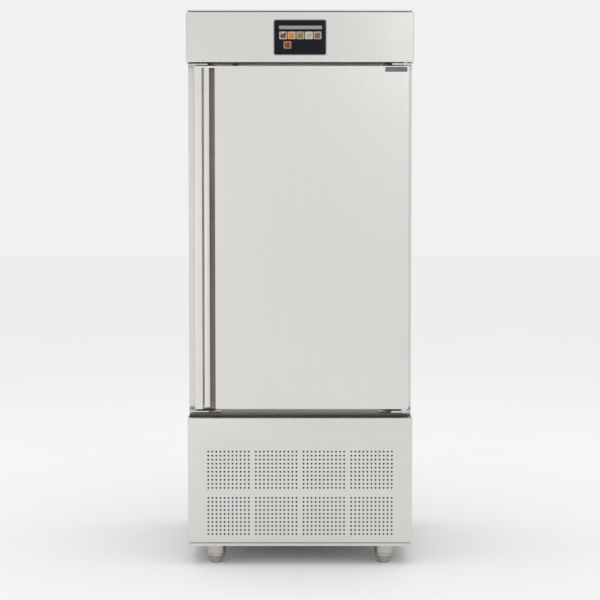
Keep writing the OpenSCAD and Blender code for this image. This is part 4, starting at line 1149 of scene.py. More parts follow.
class CHILLER_OT_screen(Piece, bpy.types.Operator):
    """Touchscreen glass with a bare title bar and picture buttons"""
    bl_idname = "chiller.screen"
    bl_label = "Touchscreen"

    corner, set_back = mm(8), mm(0.30)
    tiles = (
        ((0.55, 0.50, 0.45), (0.16, 0.075, 0.04)),
        ((0.58, 0.42, 0.32), (0.65, 0.22, 0.025)),
        ((0.42, 0.43, 0.47), (0.26, 0.19, 0.06)),
        ((0.60, 0.57, 0.48), (0.44, 0.39, 0.27)),
        ((0.52, 0.43, 0.39), (0.20, 0.11, 0.075)),
        ((0.42, 0.27, 0.17), (0.20, 0.07, 0.02)),
    )

    def button(self, bm, share, material, corner=mm(2.2)):
        """A thin plate on the glass. share is its box in shares of the glass from the top left."""
        low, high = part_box("display_glass")
        wide, tall = high.x - low.x, high.z - low.z
        spot = (low.x + share[0] * wide, high.z - share[3] * tall, low.x + share[2] * wide,
                high.z - share[1] * tall)
        part = bmesh.new()
        heap = part.verts.layers.float.new("heap")
        crown = mm(0.10)
        rows = [ring(part, rounded(spot, inset, corner), facing_front(low.y), d)
                for inset, d in ((0, self.set_back + mm(0.05)), (0, mm(0.16)), (mm(0.3), crown))]
        skin(part, rows)
        middle = part.verts.new(((spot[0] + spot[2]) / 2, low.y + crown,
                                 spot[1] * 0.6 + spot[3] * 0.4))
        middle[heap] = 1.0
        front = rows[-1]
        for i, point in enumerate(front):
            part.faces.new((point, front[(i + 1) % len(front)], middle))
        paint(part.faces, material)
        add(bm, part)

    def execute(self, context):
        low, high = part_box("display_glass")
        rect, place, face = (low.x, low.z, high.x, high.z), facing_front(low.y), self.set_back
        bm = bmesh.new()
        bm.verts.layers.float.new("heap")
        solid(bm, [ring(bm, rounded(rect, inset, self.corner, 6), place, d)
                   for inset, d in ((0, high.y - low.y), (0, face + mm(0.5)),
                                    (mm(0.2), face + mm(0.12)), (mm(0.6), face))])
        # A thin pale ring just inside the glass's edge: a painted highlight of the edge.
        rim = bmesh.new()
        outer, inner, under, over = mm(0.7), mm(2.0), face + mm(0.05), face - mm(0.08)
        sweep(rim, rect, self.corner,
              [(outer, under), (outer, over), (inner, over), (inner, under)], place)
        paint(rim.faces, 1)
        add(bm, rim)
        self.button(bm, (0.105, 0.175, 0.915, 0.270), 2, mm(1.2))
        for i in range(5):
            left = i * 0.1617
            self.button(bm, (0.110 + left, 0.340, 0.256 + left, 0.548), 3 + i)
        self.button(bm, (0.190, 0.610, 0.335, 0.812), 8)
        looks = [picture_tile(i, *tile) for i, tile in enumerate(self.tiles)]
        piece("touchscreen", bm, "display_glass", screen_glass(), screen_edge_painted_highlight(), title_bar(),
              *looks, weld=False)
        return {"FINISHED"}


class CHILLER_OT_display_back(Piece, bpy.types.Operator):
    """Ribbed display housing and its circuit board"""
    bl_idname = "chiller.display_back"
    bl_label = "Display housing and board"

    def vents(self):
        """Two rows of ribs along the housing."""
        low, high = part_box("display_module")
        count, half, tall, edge = 9, mm(6), mm(16), mm(3)
        bm = bmesh.new()
        for i in range(count):
            x = low.x + (i + 0.5) * (high.x - low.x) / count
            for z in (low.z + edge, high.z - edge - tall):
                block(bm, (x - half, high.y - mm(0.5), z), (x + half, high.y + mm(1.2), z + tall),
                      mm(0.6))
        piece("display_vents", bm, "display_module", dark_plastic(), replace=False)

    def board(self):
        """Circuit board on four posts, with its parts."""
        low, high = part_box("controller_board")
        face, corner = high.y - mm(1.6), mm(6)
        bm = bmesh.new()
        block(bm, (low.x, face, low.z), high, mm(0.2))
        for x in (low.x + corner, high.x - corner):
            for z in (low.z + corner, high.z - corner):
                lathe(bm, [(mm(3), 0), (mm(3), low.y - face)], (x, face, z), "Y", 16, 1)
        rng = random.Random(4)
        for _ in range(26):
            w, h = rng.uniform(mm(3), mm(14)), rng.uniform(mm(2), mm(10))
            x = rng.uniform(low.x + mm(10), high.x - mm(24))
            z = rng.uniform(low.z + mm(9), high.z - mm(18))
            block(bm, (x, face - mm(1.8), z), (x + w, face + mm(0.1), z + h), mm(0.3), material=2)
        piece("controller_board_parts", bm, "controller_board", board_green(), white_plastic(),
              dark_plastic())

    def execute(self, context):
        dress("display_module", dark_plastic())
        self.vents()
        self.board()
        return {"FINISHED"}


# Door


class CHILLER_OT_door(Piece, bpy.types.Operator):
    """Door skin cut out for the handle, the inner sheet, the gasket and the bare plate"""
    bl_idname = "chiller.door"
    bl_label = "Door"

    def outer_sheet(self):
        """Folded outer skin, cut open for the handle."""
        low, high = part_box("door_skin")
        trough_low, trough_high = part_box("handle_channel")
        sheet = sizes().sheet
        notch = (trough_low.x + sheet, trough_high.x - sheet, trough_high.z - sheet)
        bm = bmesh.new()
        tray(bm, (low.x, low.z, high.x, high.z), high.y - low.y, facing_front(low.y),
             notch=notch)
        piece("door_skin_sheet", bm, "door_skin", door_steel())

    def inner_sheet(self):
        """Inner sheet, pressed out towards the cabin inside the gasket."""
        low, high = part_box("door_liner")
        place, rise = facing_back(high.y), high.y - highs("door_skin").y
        rect = (low.x, low.z, high.x, high.z)
        field = (low.x + mm(45), low.z + mm(37), high.x - mm(45), high.z - mm(37))
        press = mm(6)
        flat = ((mm(0.2), rise), (0, rise - sizes().sheet * 0.5), (mm(0.5), press))
        pressed = ((mm(-6), press), (mm(-3), mm(5.7)), (mm(-1), mm(4.6)), (0, mm(3)),
                   (mm(1), mm(1.3)), (mm(3), mm(0.3)), (mm(6), 0))
        bm = bmesh.new()
        rows = [ring(bm, rounded(rect, inset, mm(3)), place, d) for inset, d in flat]
        rows += [ring(bm, rounded(field, inset, mm(16)), place, d) for inset, d in pressed]
        solid(bm, rows)
        piece("door_inner_sheet", bm, "door_liner", cabin_steel())

    def gasket(self):
        """Magnetic gasket with its bellows."""
        low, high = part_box("door_gasket")
        deep, wide = high.y - low.y, mm(18)
        bellows = [(mm(2), 0), (mm(16), 0), (mm(16.6), deep * 0.18), (mm(14.6), deep * 0.30),
                   (mm(16.8), deep * 0.44), (mm(15.2), deep * 0.56), (wide, deep * 0.68),
                   (wide, deep * 0.94), (wide - mm(0.8), deep), (mm(0.8), deep),
                   (0, deep * 0.94), (0, deep * 0.68), (mm(2.8), deep * 0.56),
                   (mm(1.2), deep * 0.44), (mm(3.4), deep * 0.30), (mm(1.4), deep * 0.18)]
        bm = bmesh.new()
        sweep(bm, (low.x, low.z, high.x, high.z), mm(4), bellows, facing_front(low.y))
        piece("door_gasket_bellows", bm, "door_gasket", gasket_rubber(), smooth=50)

    def corner_plate(self):
        """Bare plate at the door's corner, with a raised edge."""
        low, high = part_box("badge_plate")
        rect = (low.x, low.z, high.x, high.z)
        bm = bmesh.new()
        solid(bm, [ring(bm, rounded(rect, inset, mm(2)), facing_front(low.y), d)
                   for inset, d in ((0, high.y - low.y), (0, mm(0.3)), (mm(0.3), 0),
                                    (mm(1.6), 0), (mm(1.9), mm(0.15)))])
        piece("badge_plate_bare", bm, "badge_plate", badge_plate_paint())

    def execute(self, context):
        self.outer_sheet()
        self.inner_sheet()
        self.gasket()
        self.corner_plate()
        return {"FINISHED"}


class CHILLER_OT_handle(Piece, bpy.types.Operator):
    """Handle trough and the crowned grip in it"""
    bl_idname = "chiller.handle"
    bl_label = "Handle"

    def execute(self, context):
        dress("handle_channel", trough_steel_painted_shade_and_light())
        low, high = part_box("handle_grip")
        wide, thick, steps = high.x - low.x, mm(3), 12
        front, back = [], []
        for i in range(steps + 1):
            t = i / steps
            x = low.x + wide * t
            crown = mm(1.45) * (2 * t - 1) ** 2
            ends = mm(0.9) * max(0.0, abs(2 * t - 1) - 0.9) / 0.1
            front.append((x, low.y + crown + ends * 0.9))
            back.append((x, low.y + thick + crown - ends * 0.6))
        web = [(low.x + mm(3), high.y), (low.x + mm(0.2), high.y)]
        bm = bmesh.new()
        bar(bm, front + back[::-1] + web, standing, (low.z, high.z))
        piece("handle_grip_bar", bm, "handle_grip", grip_steel(), smooth=40)
        return {"FINISHED"}


class CHILLER_OT_hinges(Piece, bpy.types.Operator):
    """Hinge brackets with their screws and pins, bushes, blank plates and door switch"""
    bl_idname = "chiller.hinges"
    bl_label = "Hinges and switch"

    reach, flare, screws = mm(68), mm(40), 3

    def bracket(self, bm, edge, y, z, leg, side):
        """Flat plate with a flare towards the middle, its leg, and screws in the leg."""
        inner, step = edge - side * self.reach, mm(6)
        flared = inner - side * self.flare
        outline = [(flared, y[1]), (flared, y[1] - step), (inner, y[0]), (edge, y[0]), (edge, y[1])]
        plate(bm, outline, standing, z, bevel=mm(0.8))
        left, right = sorted((flared, edge))
        block(bm, (left, y[1] - step, leg[0]), (right, y[1], leg[1]), mm(0.9))
        middle = leg[0] + mm(9) if leg[0] < z[0] - mm(1) else leg[1] - mm(8)
        for i in range(self.screws):
            at = left + mm(14) + i * (right - left - mm(28)) / (self.screws - 1)
            screw_head(bm, (at, y[1] - step, middle), "-Y", mm(5.2), mm(2.6), 1)

    def hinge(self, node):
        """A bracket with its pin and the pin's head."""
        low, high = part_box(node)
        thick = mm(6)
        if node.endswith("upper"):
            base = high.z - mm(22)
            z = (base, base + thick)
            leg = (base, high.z)
            pin = [(mm(5.2), low.z), (mm(6), low.z + mm(1)), (mm(6), base + mm(0.5))]
            head = [(mm(8.5), z[1]), (mm(8.5), z[1] + mm(2.2)), (mm(7.6), z[1] + mm(3))]
        else:
            top = lows("door_skin").z - mm(6)
            z = (top - thick, top)
            leg = (low.z, top)
            pin = [(mm(6), top - mm(0.5)), (mm(6), high.z - mm(1)), (mm(5.2), high.z)]
            head = [(mm(7.6), z[0] - mm(3)), (mm(8.5), z[0] - mm(2.2)), (mm(8.5), z[0])]
        pin_x, pin_y, _ = centre("door_bushes")
        bm = bmesh.new()
        self.bracket(bm, high.x, (low.y, high.y), z, leg, 1)
        lathe(bm, head, (pin_x, pin_y, 0), steps=32, material=1)
        lathe(bm, pin, (pin_x, pin_y, 0), steps=32)
        piece(node + "_plate", bm, node, bracket_steel(), wire_chrome())

    def blanks(self):
        """Plates over the places of a left-hung door's hinges."""
        low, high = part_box("spare_hinge_plates")
        upper, top, thick = lows("door_switch").z + mm(2), lows("door_skin").z - mm(6), mm(4)
        bm = bmesh.new()
        for z, leg in (((upper, upper + thick), (upper, high.z)),
                       ((top - thick, top), (low.z, top))):
            self.bracket(bm, low.x, (low.y, high.y), z, leg, -1)
        piece("blank_plates", bm, "spare_hinge_plates", bracket_steel(), wire_chrome())

    def switch(self):
        """Door switch with its plunger."""
        low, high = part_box("door_switch")
        bm = bmesh.new()
        block(bm, (low.x, low.y, low.z + mm(2)), high, mm(1.2))
        lathe(bm, [(mm(3), mm(2.5)), (mm(3), mm(0.8)), (mm(2), 0)],
              (centre("door_switch").x, low.y + mm(8), low.z), steps=20, material=1)
        piece("door_switch_case", bm, "door_switch", dark_plastic(), white_plastic())

    def execute(self, context):
        for node in ("hinge_bracket_upper", "hinge_bracket_lower"):
            self.hinge(node)
        self.blanks()
        dress("door_bushes", white_plastic())
        self.switch()
        return {"FINISHED"}


# Cabin


class CHILLER_OT_cabin(Piece, bpy.types.Operator):
    """Coved liner, tray supports, duct panel with its guards, and the sensors"""
    bl_idname = "chiller.cabin"
    bl_label = "Cabin"

    def execute(self, context):
        for node in ("tray_uprights", "duct_panel"):
            dress(node, cabin_steel())
        self.liner()
        self.runners()
        self.guards()
        self.sensors()
        return {"FINISHED"}

    def liner(self):
        """Welded liner with coved corners all round its back."""
        low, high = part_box("inner_liner")
        sheet, cove, depth, steps = sizes().sheet, sizes().cove, high.y - low.y, 5
        section = [(0, depth), (0, 0), (sheet, 0), (sheet, depth - sheet - cove)]
        section += [(sheet + cove * (1 - math.cos(a)), depth - sheet - cove * (1 - math.sin(a)))
                    for a in (math.pi / 2 * i / steps for i in range(1, steps + 1))]
        bm = bmesh.new()
        solid(bm, [ring(bm, rounded((low.x, low.z, high.x, high.z), inset, cove + sheet, 6),
                        facing_front(low.y), d) for inset, d in section])
        piece("cabin_liner_coved", bm, "inner_liner", cabin_steel())

    def runners(self):
        """Folded angle runners, a pair at every level."""
        low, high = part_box("tray_runners")
        t, pitch, levels, post = sizes().sheet, mm(70), 15, mm(20)
        r, wide, rise, steps = mm(2.2), mm(55), mm(22), 4
        arc = [(r * (1 - math.sin(a)), r * (1 - math.cos(a)))
               for a in (math.pi / 2 * i / steps for i in range(steps + 1))]
        under = [(wide, 0), *arc, (0, rise)]
        over = [(t, rise), (t + mm(0.9), t + mm(1.4)), (t + mm(1.6), t + mm(0.6)),
                (t + mm(2.6), t), (wide, t)]
        bm = bmesh.new()
        for side, wall in ((-1, lows("tray_uprights").x + post),
                           (1, highs("tray_uprights").x - post)):
            angle = [(wall - side * u, v) for u, v in under + over]
            for i in range(levels):
                shelf = low.z + i * pitch
                bar(bm, [(u, shelf + v) for u, v in angle], facing_front(0.0), (low.y, high.y))
        piece("tray_runner_angles", bm, "tray_runners", cabin_steel())

    def guards(self):
        """Round wire guards over the cabin fans."""
        low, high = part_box("fan_guards")
        wire, reach, eye = sizes().wire / 2, mm(100), mm(28)
        front, thick = low.y + wire, wire * 0.85
        bm = bmesh.new()
        for _, _, z in fan_places("evaporator_fan").values():
            for radius in (mm(30), mm(44), mm(58), mm(72), mm(86), reach):
                tube(bm, [(u, front, v) for u, v in circle(0, z, radius, 48)], thick, 8,
                     closed=True)
            for c, d in circle(0, 0, 1, 8):
                path = route([(eye * c, front + wire, z + eye * d),
                              (reach * c, front + wire, z + reach * d),
                              (reach * c, high.y, z + reach * d)], mm(6), 4)
                tube(bm, path, thick, 8)
        piece("fan_guard_wires", bm, "fan_guards", wire_chrome(), weld=False)

    def sensors(self):
        """Air sensor in its clip, and the inlet of the core probe."""
        low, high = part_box("cabin_sensors")
        duct, middle, radius = lows("duct_panel").y, centre("inner_liner").z, mm(4)
        front = duct - 2 * radius
        bm = bmesh.new()
        lathe(bm, [(mm(2.4), 0), (mm(3.6), mm(1.2)), (radius, mm(3)), (radius, mm(57)),
                   (mm(3.2), mm(59.4)), (mm(1.8), mm(60))],
              (low.x + radius, front, middle - mm(30)), steps=24)
        block(bm, (low.x, front, middle - mm(6)), (low.x + 2 * radius, duct, middle + mm(6)),
              mm(1))
        lathe(bm, [(mm(13), 0), (mm(13), mm(3)), (mm(12), mm(4)), (mm(9.6), mm(4)),
                   (mm(9), mm(5)), (mm(9), mm(15)), (mm(8.2), mm(16)), (mm(3.4), mm(16)),
                   (mm(3), mm(15.4)), (mm(3), mm(5))],
              (high.x, duct - mm(22), high.z - mm(13)), "-X", 32)
        piece("cabin_sensor_bodies", bm, "cabin_sensors", wire_chrome())


def fan_places(kind):
    """Where each fan of a kind turns, by its node."""
    return {j["child"].removesuffix("_body"): j["pos_m"] for j in frame["joints"]
            if j["name"].startswith(kind)}


def impeller(bm, axis, hub_y, depth, reach, facing):
    """A hub with five curved, twisted blades."""
    x, z = axis
    hub, bore, wall, thick, cells = mm(29), mm(4.05), mm(24), mm(0.9), 8
    lathe(bm, [(bore, 0), (hub - mm(4), 0), (hub - mm(1), mm(1)), (hub, mm(4)),
               (hub, depth - mm(1)), (hub - mm(1), depth), (wall, depth),
               (wall, mm(4)), (mm(7), mm(4)), (mm(7), depth - mm(2)), (bore, depth - mm(2))],
          (x, hub_y, z), "Y", 48)
    root, swing = hub - mm(1.5), depth / 2 - mm(1.5)
    for turn in turns(5):
        grid = []
        for i in range(cells + 1):
            out = i / cells
            r = root + (reach - root) * out
            half, lean = math.radians(26 - 7 * out), math.radians(14) * out
            row = []
            for j in range(cells + 1):
                t = j / cells * 2 - 1
                a = turn + lean + half * t
                dip = mm(2.2) * (1 - t * t)
                y = hub_y + depth / 2 + facing * (swing * t * (1 - 0.25 * out) + dip)
                row.append((x + r * math.cos(a), y, z + r * math.sin(a)))
            grid.append(row)
        sheets = [[[bm.verts.new((p[0], p[1] + s * thick, p[2])) for p in row] for row in grid]
                  for s in (-1, 1)]
        for sheet in sheets:
            skin(bm, sheet, closed=False)
        edges = [s[0] + [row[-1] for row in s[1:]] + s[-1][-2::-1]
                 + [row[0] for row in s[-2:0:-1]] for s in sheets]
        skin(bm, edges)


def motor(bm, x, y, z, post, reach):
    """A fan motor: ribbed body, end boss, and a strut on two posts."""
    body = [(mm(20), 0), (mm(34), 0), (mm(37), mm(1.5)), (mm(38), mm(4))]
    for i in range(5):
        h = mm(7 + i * 5.6)
        body += [(mm(38), h), (mm(36.4), h + mm(0.8)), (mm(36.4), h + mm(2.4)),
                 (mm(38), h + mm(3.2))]
    body += [(mm(38), mm(37)), (mm(36), mm(39.6)), (mm(16), mm(40)), (mm(15), mm(42)),
             (mm(3), mm(42))]
    lathe(bm, body, (x, y + mm(4), z), "Y", 40)
    block(bm, (x - reach, y, z - mm(6)), (x + reach, y + mm(4), z + mm(6)), mm(1), material=1)
    for side in (-1, 1):
        lathe(bm, [(mm(4), 0), (mm(4), -post)], (x + side * reach, y, z), "Y", 20, 1)
        hexagon(bm, mm(9), (0, mm(3.4)), (x + side * reach, y + mm(4), z), "Y", 2)
    lathe(bm, [(mm(4), -post - mm(3)), (mm(4), 0)], (x, y, z), "Y", 20, 2)


class CHILLER_OT_fans(Piece, bpy.types.Operator):
    """The five impellers with curved blades, and their motors"""
    bl_idname = "chiller.fans"
    bl_label = "Fans"

    def execute(self, context):
        for kind, facing in (("evaporator_fan", 1), ("condenser_fan", -1)):
            for node, (x, _, z) in fan_places(kind).items():
                low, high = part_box(node)
                bm = bmesh.new()
                impeller(bm, (x, z), low.y, high.y - low.y, mm(90.6), facing)
                piece(node + "_blades", bm, node, fan_plastic(), smooth=40)
        for kind in ("evaporator_fan", "condenser_fan"):
            node = kind + "_motors"
            bm = bmesh.new()
            for x, _, z in fan_places(kind).values():
                motor(bm, x, highs(node).y - mm(46), z, mm(26), mm(103))
            piece(node + "_cases", bm, node, motor_paint(), zinc_sheet(), wire_chrome())
        return {"FINISHED"}


def finned_coil(x, y, z, ends, tubes, straight):
    """A stack of fins between end plates, with return bends. x, y and z are its spans, ends the
    end plates' thickness and back, tubes where its rows lie, and straight the material of the
    tubes between the fins."""
    bm = bmesh.new()
    thick, inset = mm(0.25), mm(0.5)
    count = int((x[1] - x[0]) / sizes().fin_step)
    for i in range(count):
        at = x[0] + (i + 0.5) * (x[1] - x[0]) / count
        block(bm, (at - thick, y[0] + inset, z[0] + inset),
              (at + thick, y[1] - inset, z[1] - inset), 0.0)
    left, right = x[0] - ends[0], x[1] + ends[0]
    for start, far in ((left, x[0]), (x[1], right)):
        block(bm, (start, y[0], z[0]), (far, ends[1], z[1]), mm(0.4), material=1)
    pitch = mm(50)
    rows = int((z[1] - z[0]) / (2 * pitch))
    middle = (z[0] + z[1]) / 2
    for i in range(rows):
        level = middle + (i - (rows - 1) / 2) * 2 * pitch
        for half in (-pitch / 2, pitch / 2):
            tube(bm, [(left, tubes, level + half), (right, tubes, level + half)], mm(4.6), 12,
                 material=straight)
        for side, at in ((-1, left), (1, right)):
            path = [(at + side * pitch / 2 * math.sin(a), tubes, level - pitch / 2 * math.cos(a))
                    for a in (math.pi * k / 12 for k in range(13))]
            tube(bm, path, mm(4.9), 12, material=2)
    return bm


class CHILLER_OT_coils(Piece, bpy.types.Operator):
    """Evaporator and condenser: fins, end plates and tubes"""
    bl_idname = "chiller.coils"
    bl_label = "Finned coils"

    def execute(self, context):
        self.evaporator()
        self.condenser()
        dress("condenser_shroud", zinc_sheet())
        return {"FINISHED"}

    def evaporator(self):
        """Bright fins with copper tubes, behind the duct panel."""
        low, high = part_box("evaporator_coil")
        back, bends = high.y - mm(28), mm(32)
        bm = finned_coil((low.x + bends, high.x - bends), (low.y, back), (low.z, high.z),
                         (mm(2), high.y), (low.y + back) / 2, 2)
        piece("evaporator_fins", bm, "evaporator_coil", fin_aluminium(), zinc_sheet(),
              pipe_copper(), weld=False)

    def condenser(self):
        """Black-coated fins with two headers, behind the perforated panel."""
        low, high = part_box("condenser_coil")
        shroud_low, shroud_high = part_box("condenser_shroud")
        right, back = shroud_high.x, shroud_low.y
        bm = finned_coil((shroud_low.x, right), (low.y, back), (low.z, high.z), (mm(2), back),
                         (low.y + back) / 2, 0)
        header, joined = right + mm(16), back - mm(14)
        for level in (high.z - mm(30), low.z + mm(30)):
            lathe(bm, [(mm(7), 0), (mm(7), mm(19.4)), (mm(6), mm(20))],
                  (header, back - mm(20), level), "Y", 20, 2)
            tube(bm, [(right, joined, level), (header, joined, level)], mm(5), 12, material=2)
        piece("condenser_fins", bm, "condenser_coil", dark_fins_painted_shade(), zinc_sheet(),
              pipe_copper(), weld=False)


# Refrigeration


def domed(radius, height, dome, steps=7):
    """Profile of a vessel with domed ends and a weld bead round its middle."""
    low = [(radius * math.sin(a), dome * (1 - math.cos(a)))
           for a in (math.pi / 2 * i / steps for i in range(steps + 1))]
    bead = height * 0.62
    middle = [(radius, bead - mm(4)), (radius + mm(0.6), bead - mm(2.6)),
              (radius + mm(0.6), bead + mm(2.6)), (radius, bead + mm(4))]
    top = [(r, height - h) for r, h in reversed(low)]
    return low + middle + top


class CHILLER_OT_compressor(Piece, bpy.types.Operator):
    """Compressor with its foot plate and mounts, receiver and filter drier"""
    bl_idname = "chiller.compressor"
    bl_label = "Compressor and vessels"

    bolt_reach = mm(100)

    def execute(self, context):
        self.shell()
        dress("compressor_core", iron_core())
        self.mounts()
        self.receiver()
        self.drier()
        return {"FINISHED"}

    def corners(self):
        """Places of the four mounts across the foot plate."""
        x, y, _ = centre("compressor_shell")
        return [(x + i * self.bolt_reach, y + j * self.bolt_reach)
                for i in (-1, 1) for j in (-1, 1)]

    def shell(self):
        """Welded shell on its foot plate, with pipe stubs and the terminal cover."""
        low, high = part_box("compressor_shell")
        x, y, _ = centre("compressor_shell")
        thick = mm(4)
        base = low.z + thick
        height = high.z - mm(14) - base
        bm = bmesh.new()
        lathe(bm, domed(mm(97.4), height, mm(40)), (x, y, base), steps=64)
        bolts = [circle(u, v, mm(5), 16) for u, v in self.corners()]
        plate(bm, rounded((low.x, low.y, high.x, high.y), 0.0, mm(14)), facing_up(base),
              (0, thick), bolts, mm(0.8))
        lathe(bm, [(mm(70), 0), (mm(70), mm(14)), (mm(68), mm(18))], (x, y, base), steps=48)
        for side, radius in ((-1, mm(7)), (1, mm(11))):
            stub = [(radius + mm(4), height - mm(17)), (radius + mm(2), height - mm(4)),
                    (radius, height), (radius, height + mm(13)), (radius - mm(1), height + mm(14))]
            lathe(bm, stub, (x + side * mm(55), y, base), steps=24, material=1)
        block(bm, (x - mm(112), y - mm(34), base + mm(110)),
              (x - mm(80), y + mm(34), base + mm(190)), mm(7), material=2, segments=4)
        piece("compressor_body", bm, "compressor_shell", black_paint(), pipe_copper(),
              dark_plastic())

    def mounts(self):
        """Rubber grommets and their bolts."""
        bm = bmesh.new()
        for u, v in self.corners():
            at = (u, v, lows("compressor_mounts").z)
            lathe(bm, [(mm(14), 0), (mm(15), mm(1)), (mm(15), mm(4)), (mm(12.6), mm(6)),
                       (mm(12.6), mm(10)), (mm(15), mm(12)), (mm(15), mm(15)),
                       (mm(14), mm(16))], at, steps=32)
            lathe(bm, [(mm(4.5), mm(16)), (mm(4.5), mm(24)), (mm(3.8), mm(25))], at,
                  steps=20, material=1)
        piece("compressor_grommets", bm, "compressor_mounts", mount_rubber(), wire_chrome())

    def receiver(self):
        """Liquid receiver on its ring, with two stubs."""
        low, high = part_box("liquid_receiver")
        x, y, _ = centre("liquid_receiver")
        base = low.z + mm(20)
        height = high.z - mm(14) - base
        bm = bmesh.new()
        lathe(bm, domed(mm(49.6), height, mm(25)), (x, y, base), steps=48)
        washer(bm, (mm(37), mm(40)), (0, mm(34)), (x, y, low.z), steps=48)
        for side in (-1, 1):
            at = (x + side * mm(25), y, base + height - mm(12))
            lathe(bm, [(mm(9), 0), (mm(9), mm(10)), (mm(7), mm(13)), (mm(7), mm(25)),
                       (mm(6), mm(26))], at, steps=24, material=1)
        piece("receiver_vessel", bm, "liquid_receiver", vessel_paint(), pipe_copper())

    def drier(self):
        """Filter drier, drawn in at both ends."""
        low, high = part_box("filter_drier")
        x, y, _ = centre("filter_drier")
        r = (high.x - low.x) / 2
        bm = bmesh.new()
        lathe(bm, [(mm(7), 0), (mm(7), mm(11)), (mm(9), mm(13)), (r * 0.7, mm(15)),
                   (r * 0.95, mm(20)), (r, mm(26)), (r, mm(108)), (r * 0.95, mm(114)),
                   (r * 0.7, mm(119)), (mm(9), mm(121)), (mm(7), mm(123)), (mm(7), mm(134))],
              (x, y, low.z), steps=36)
        piece("filter_drier_body", bm, "filter_drier", pipe_copper())


class CHILLER_OT_pipes(Piece, bpy.types.Operator):
    """Copper pipes with real bends, expansion valve and drain"""
    bl_idname = "chiller.pipes"
    bl_label = "Pipes and valve"

    riser_inset = mm(9)

    def execute(self, context):
        self.pipes()
        self.valve()
        dress("drain_pipe", grey_plastic())
        return {"FINISHED"}

    def pipes(self):
        """Hot gas, liquid and suction lines, with a sleeve at each end."""
        comp, top = centre("compressor_shell"), highs("compressor_shell").z
        left, right, cy = comp.x - mm(55), comp.x + mm(55), comp.y
        recv, recv_top = centre("liquid_receiver"), highs("liquid_receiver").z
        recv_in, recv_out, ry = recv.x - mm(25), recv.x + mm(25), recv.y
        shroud_low, shroud_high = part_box("condenser_shroud")
        out_x, out_y = shroud_high.x + mm(16), shroud_low.y
        hot_z, liquid_z = shroud_high.z - mm(30), shroud_low.z + mm(30)
        cross, over = cy - mm(150), cy - mm(110)
        drier_low, drier_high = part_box("filter_drier")
        dx, below = centre("filter_drier").x, drier_low.z - mm(28)
        valve_x, valve_z = centre("expansion_valve").x, lows("expansion_valve").z
        end = highs("refrigerant_pipes")
        thin, thick = mm(5), mm(9)
        riser_x, riser_y = end.x - thick, end.y - self.riser_inset
        back, high = riser_y - mm(60), top + mm(55)
        arch, loop = recv_top + mm(20), recv_top + mm(48)
        runs = [
            ([(left, cy, top), (left, cy, hot_z), (left, cross, hot_z), (out_x, cross, hot_z),
              (out_x, out_y, hot_z)], thin),
            ([(out_x, out_y, liquid_z), (out_x, over, liquid_z), (out_x, over, arch),
              (recv_in, over, arch), (recv_in, ry, arch), (recv_in, ry, recv_top)], thin),
            ([(recv_out, ry, recv_top), (recv_out, ry, loop), (dx, ry, loop),
              (dx, ry, drier_high.z)], thin),
            ([(dx, ry, drier_low.z), (dx, ry, below), (valve_x, ry, below),
              (valve_x, riser_y, below), (valve_x, riser_y, valve_z)], thin),
            ([(right, cy, top), (right, cy, high), (right, back, high), (riser_x, back, high),
              (riser_x, riser_y, high), (riser_x, riser_y, end.z)], thick),
        ]
        bm = bmesh.new()
        for points, radius in runs:
            tube(bm, route(points, sizes().pipe_bend, 8), radius, 16)
            for a, b in ((points[0], points[1]), (points[-1], points[-2])):
                a, b = Vector(a), Vector(b)
                sleeve_end = a + (b - a).normalized() * mm(10)
                tube(bm, [a, sleeve_end], radius + mm(1.1), 16)
        piece("copper_pipes", bm, "refrigerant_pipes", pipe_copper(), weld=False)

    def valve(self):
        """Expansion valve at the top of the liquid line."""
        low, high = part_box("expansion_valve")
        x, y = centre("expansion_valve").x, highs("refrigerant_pipes").y - self.riser_inset
        half = mm(11)
        bm = bmesh.new()
        block(bm, (x - half, y - half, low.z), (x + half, y + half, high.z - mm(5)), mm(2))
        lathe(bm, [(mm(6), 0), (mm(6), mm(6)), (mm(9), mm(7)), (mm(9), mm(13)), (mm(7), mm(14))],
              (x, y - half, low.z + mm(22)), "-Y", 32)
        lathe(bm, [(mm(5), mm(-7)), (mm(5), 0)], (x, y, high.z), steps=20, material=1)
        piece("expansion_valve_body", bm, "expansion_valve", valve_brass(), pipe_copper())


# Electrics and the rear


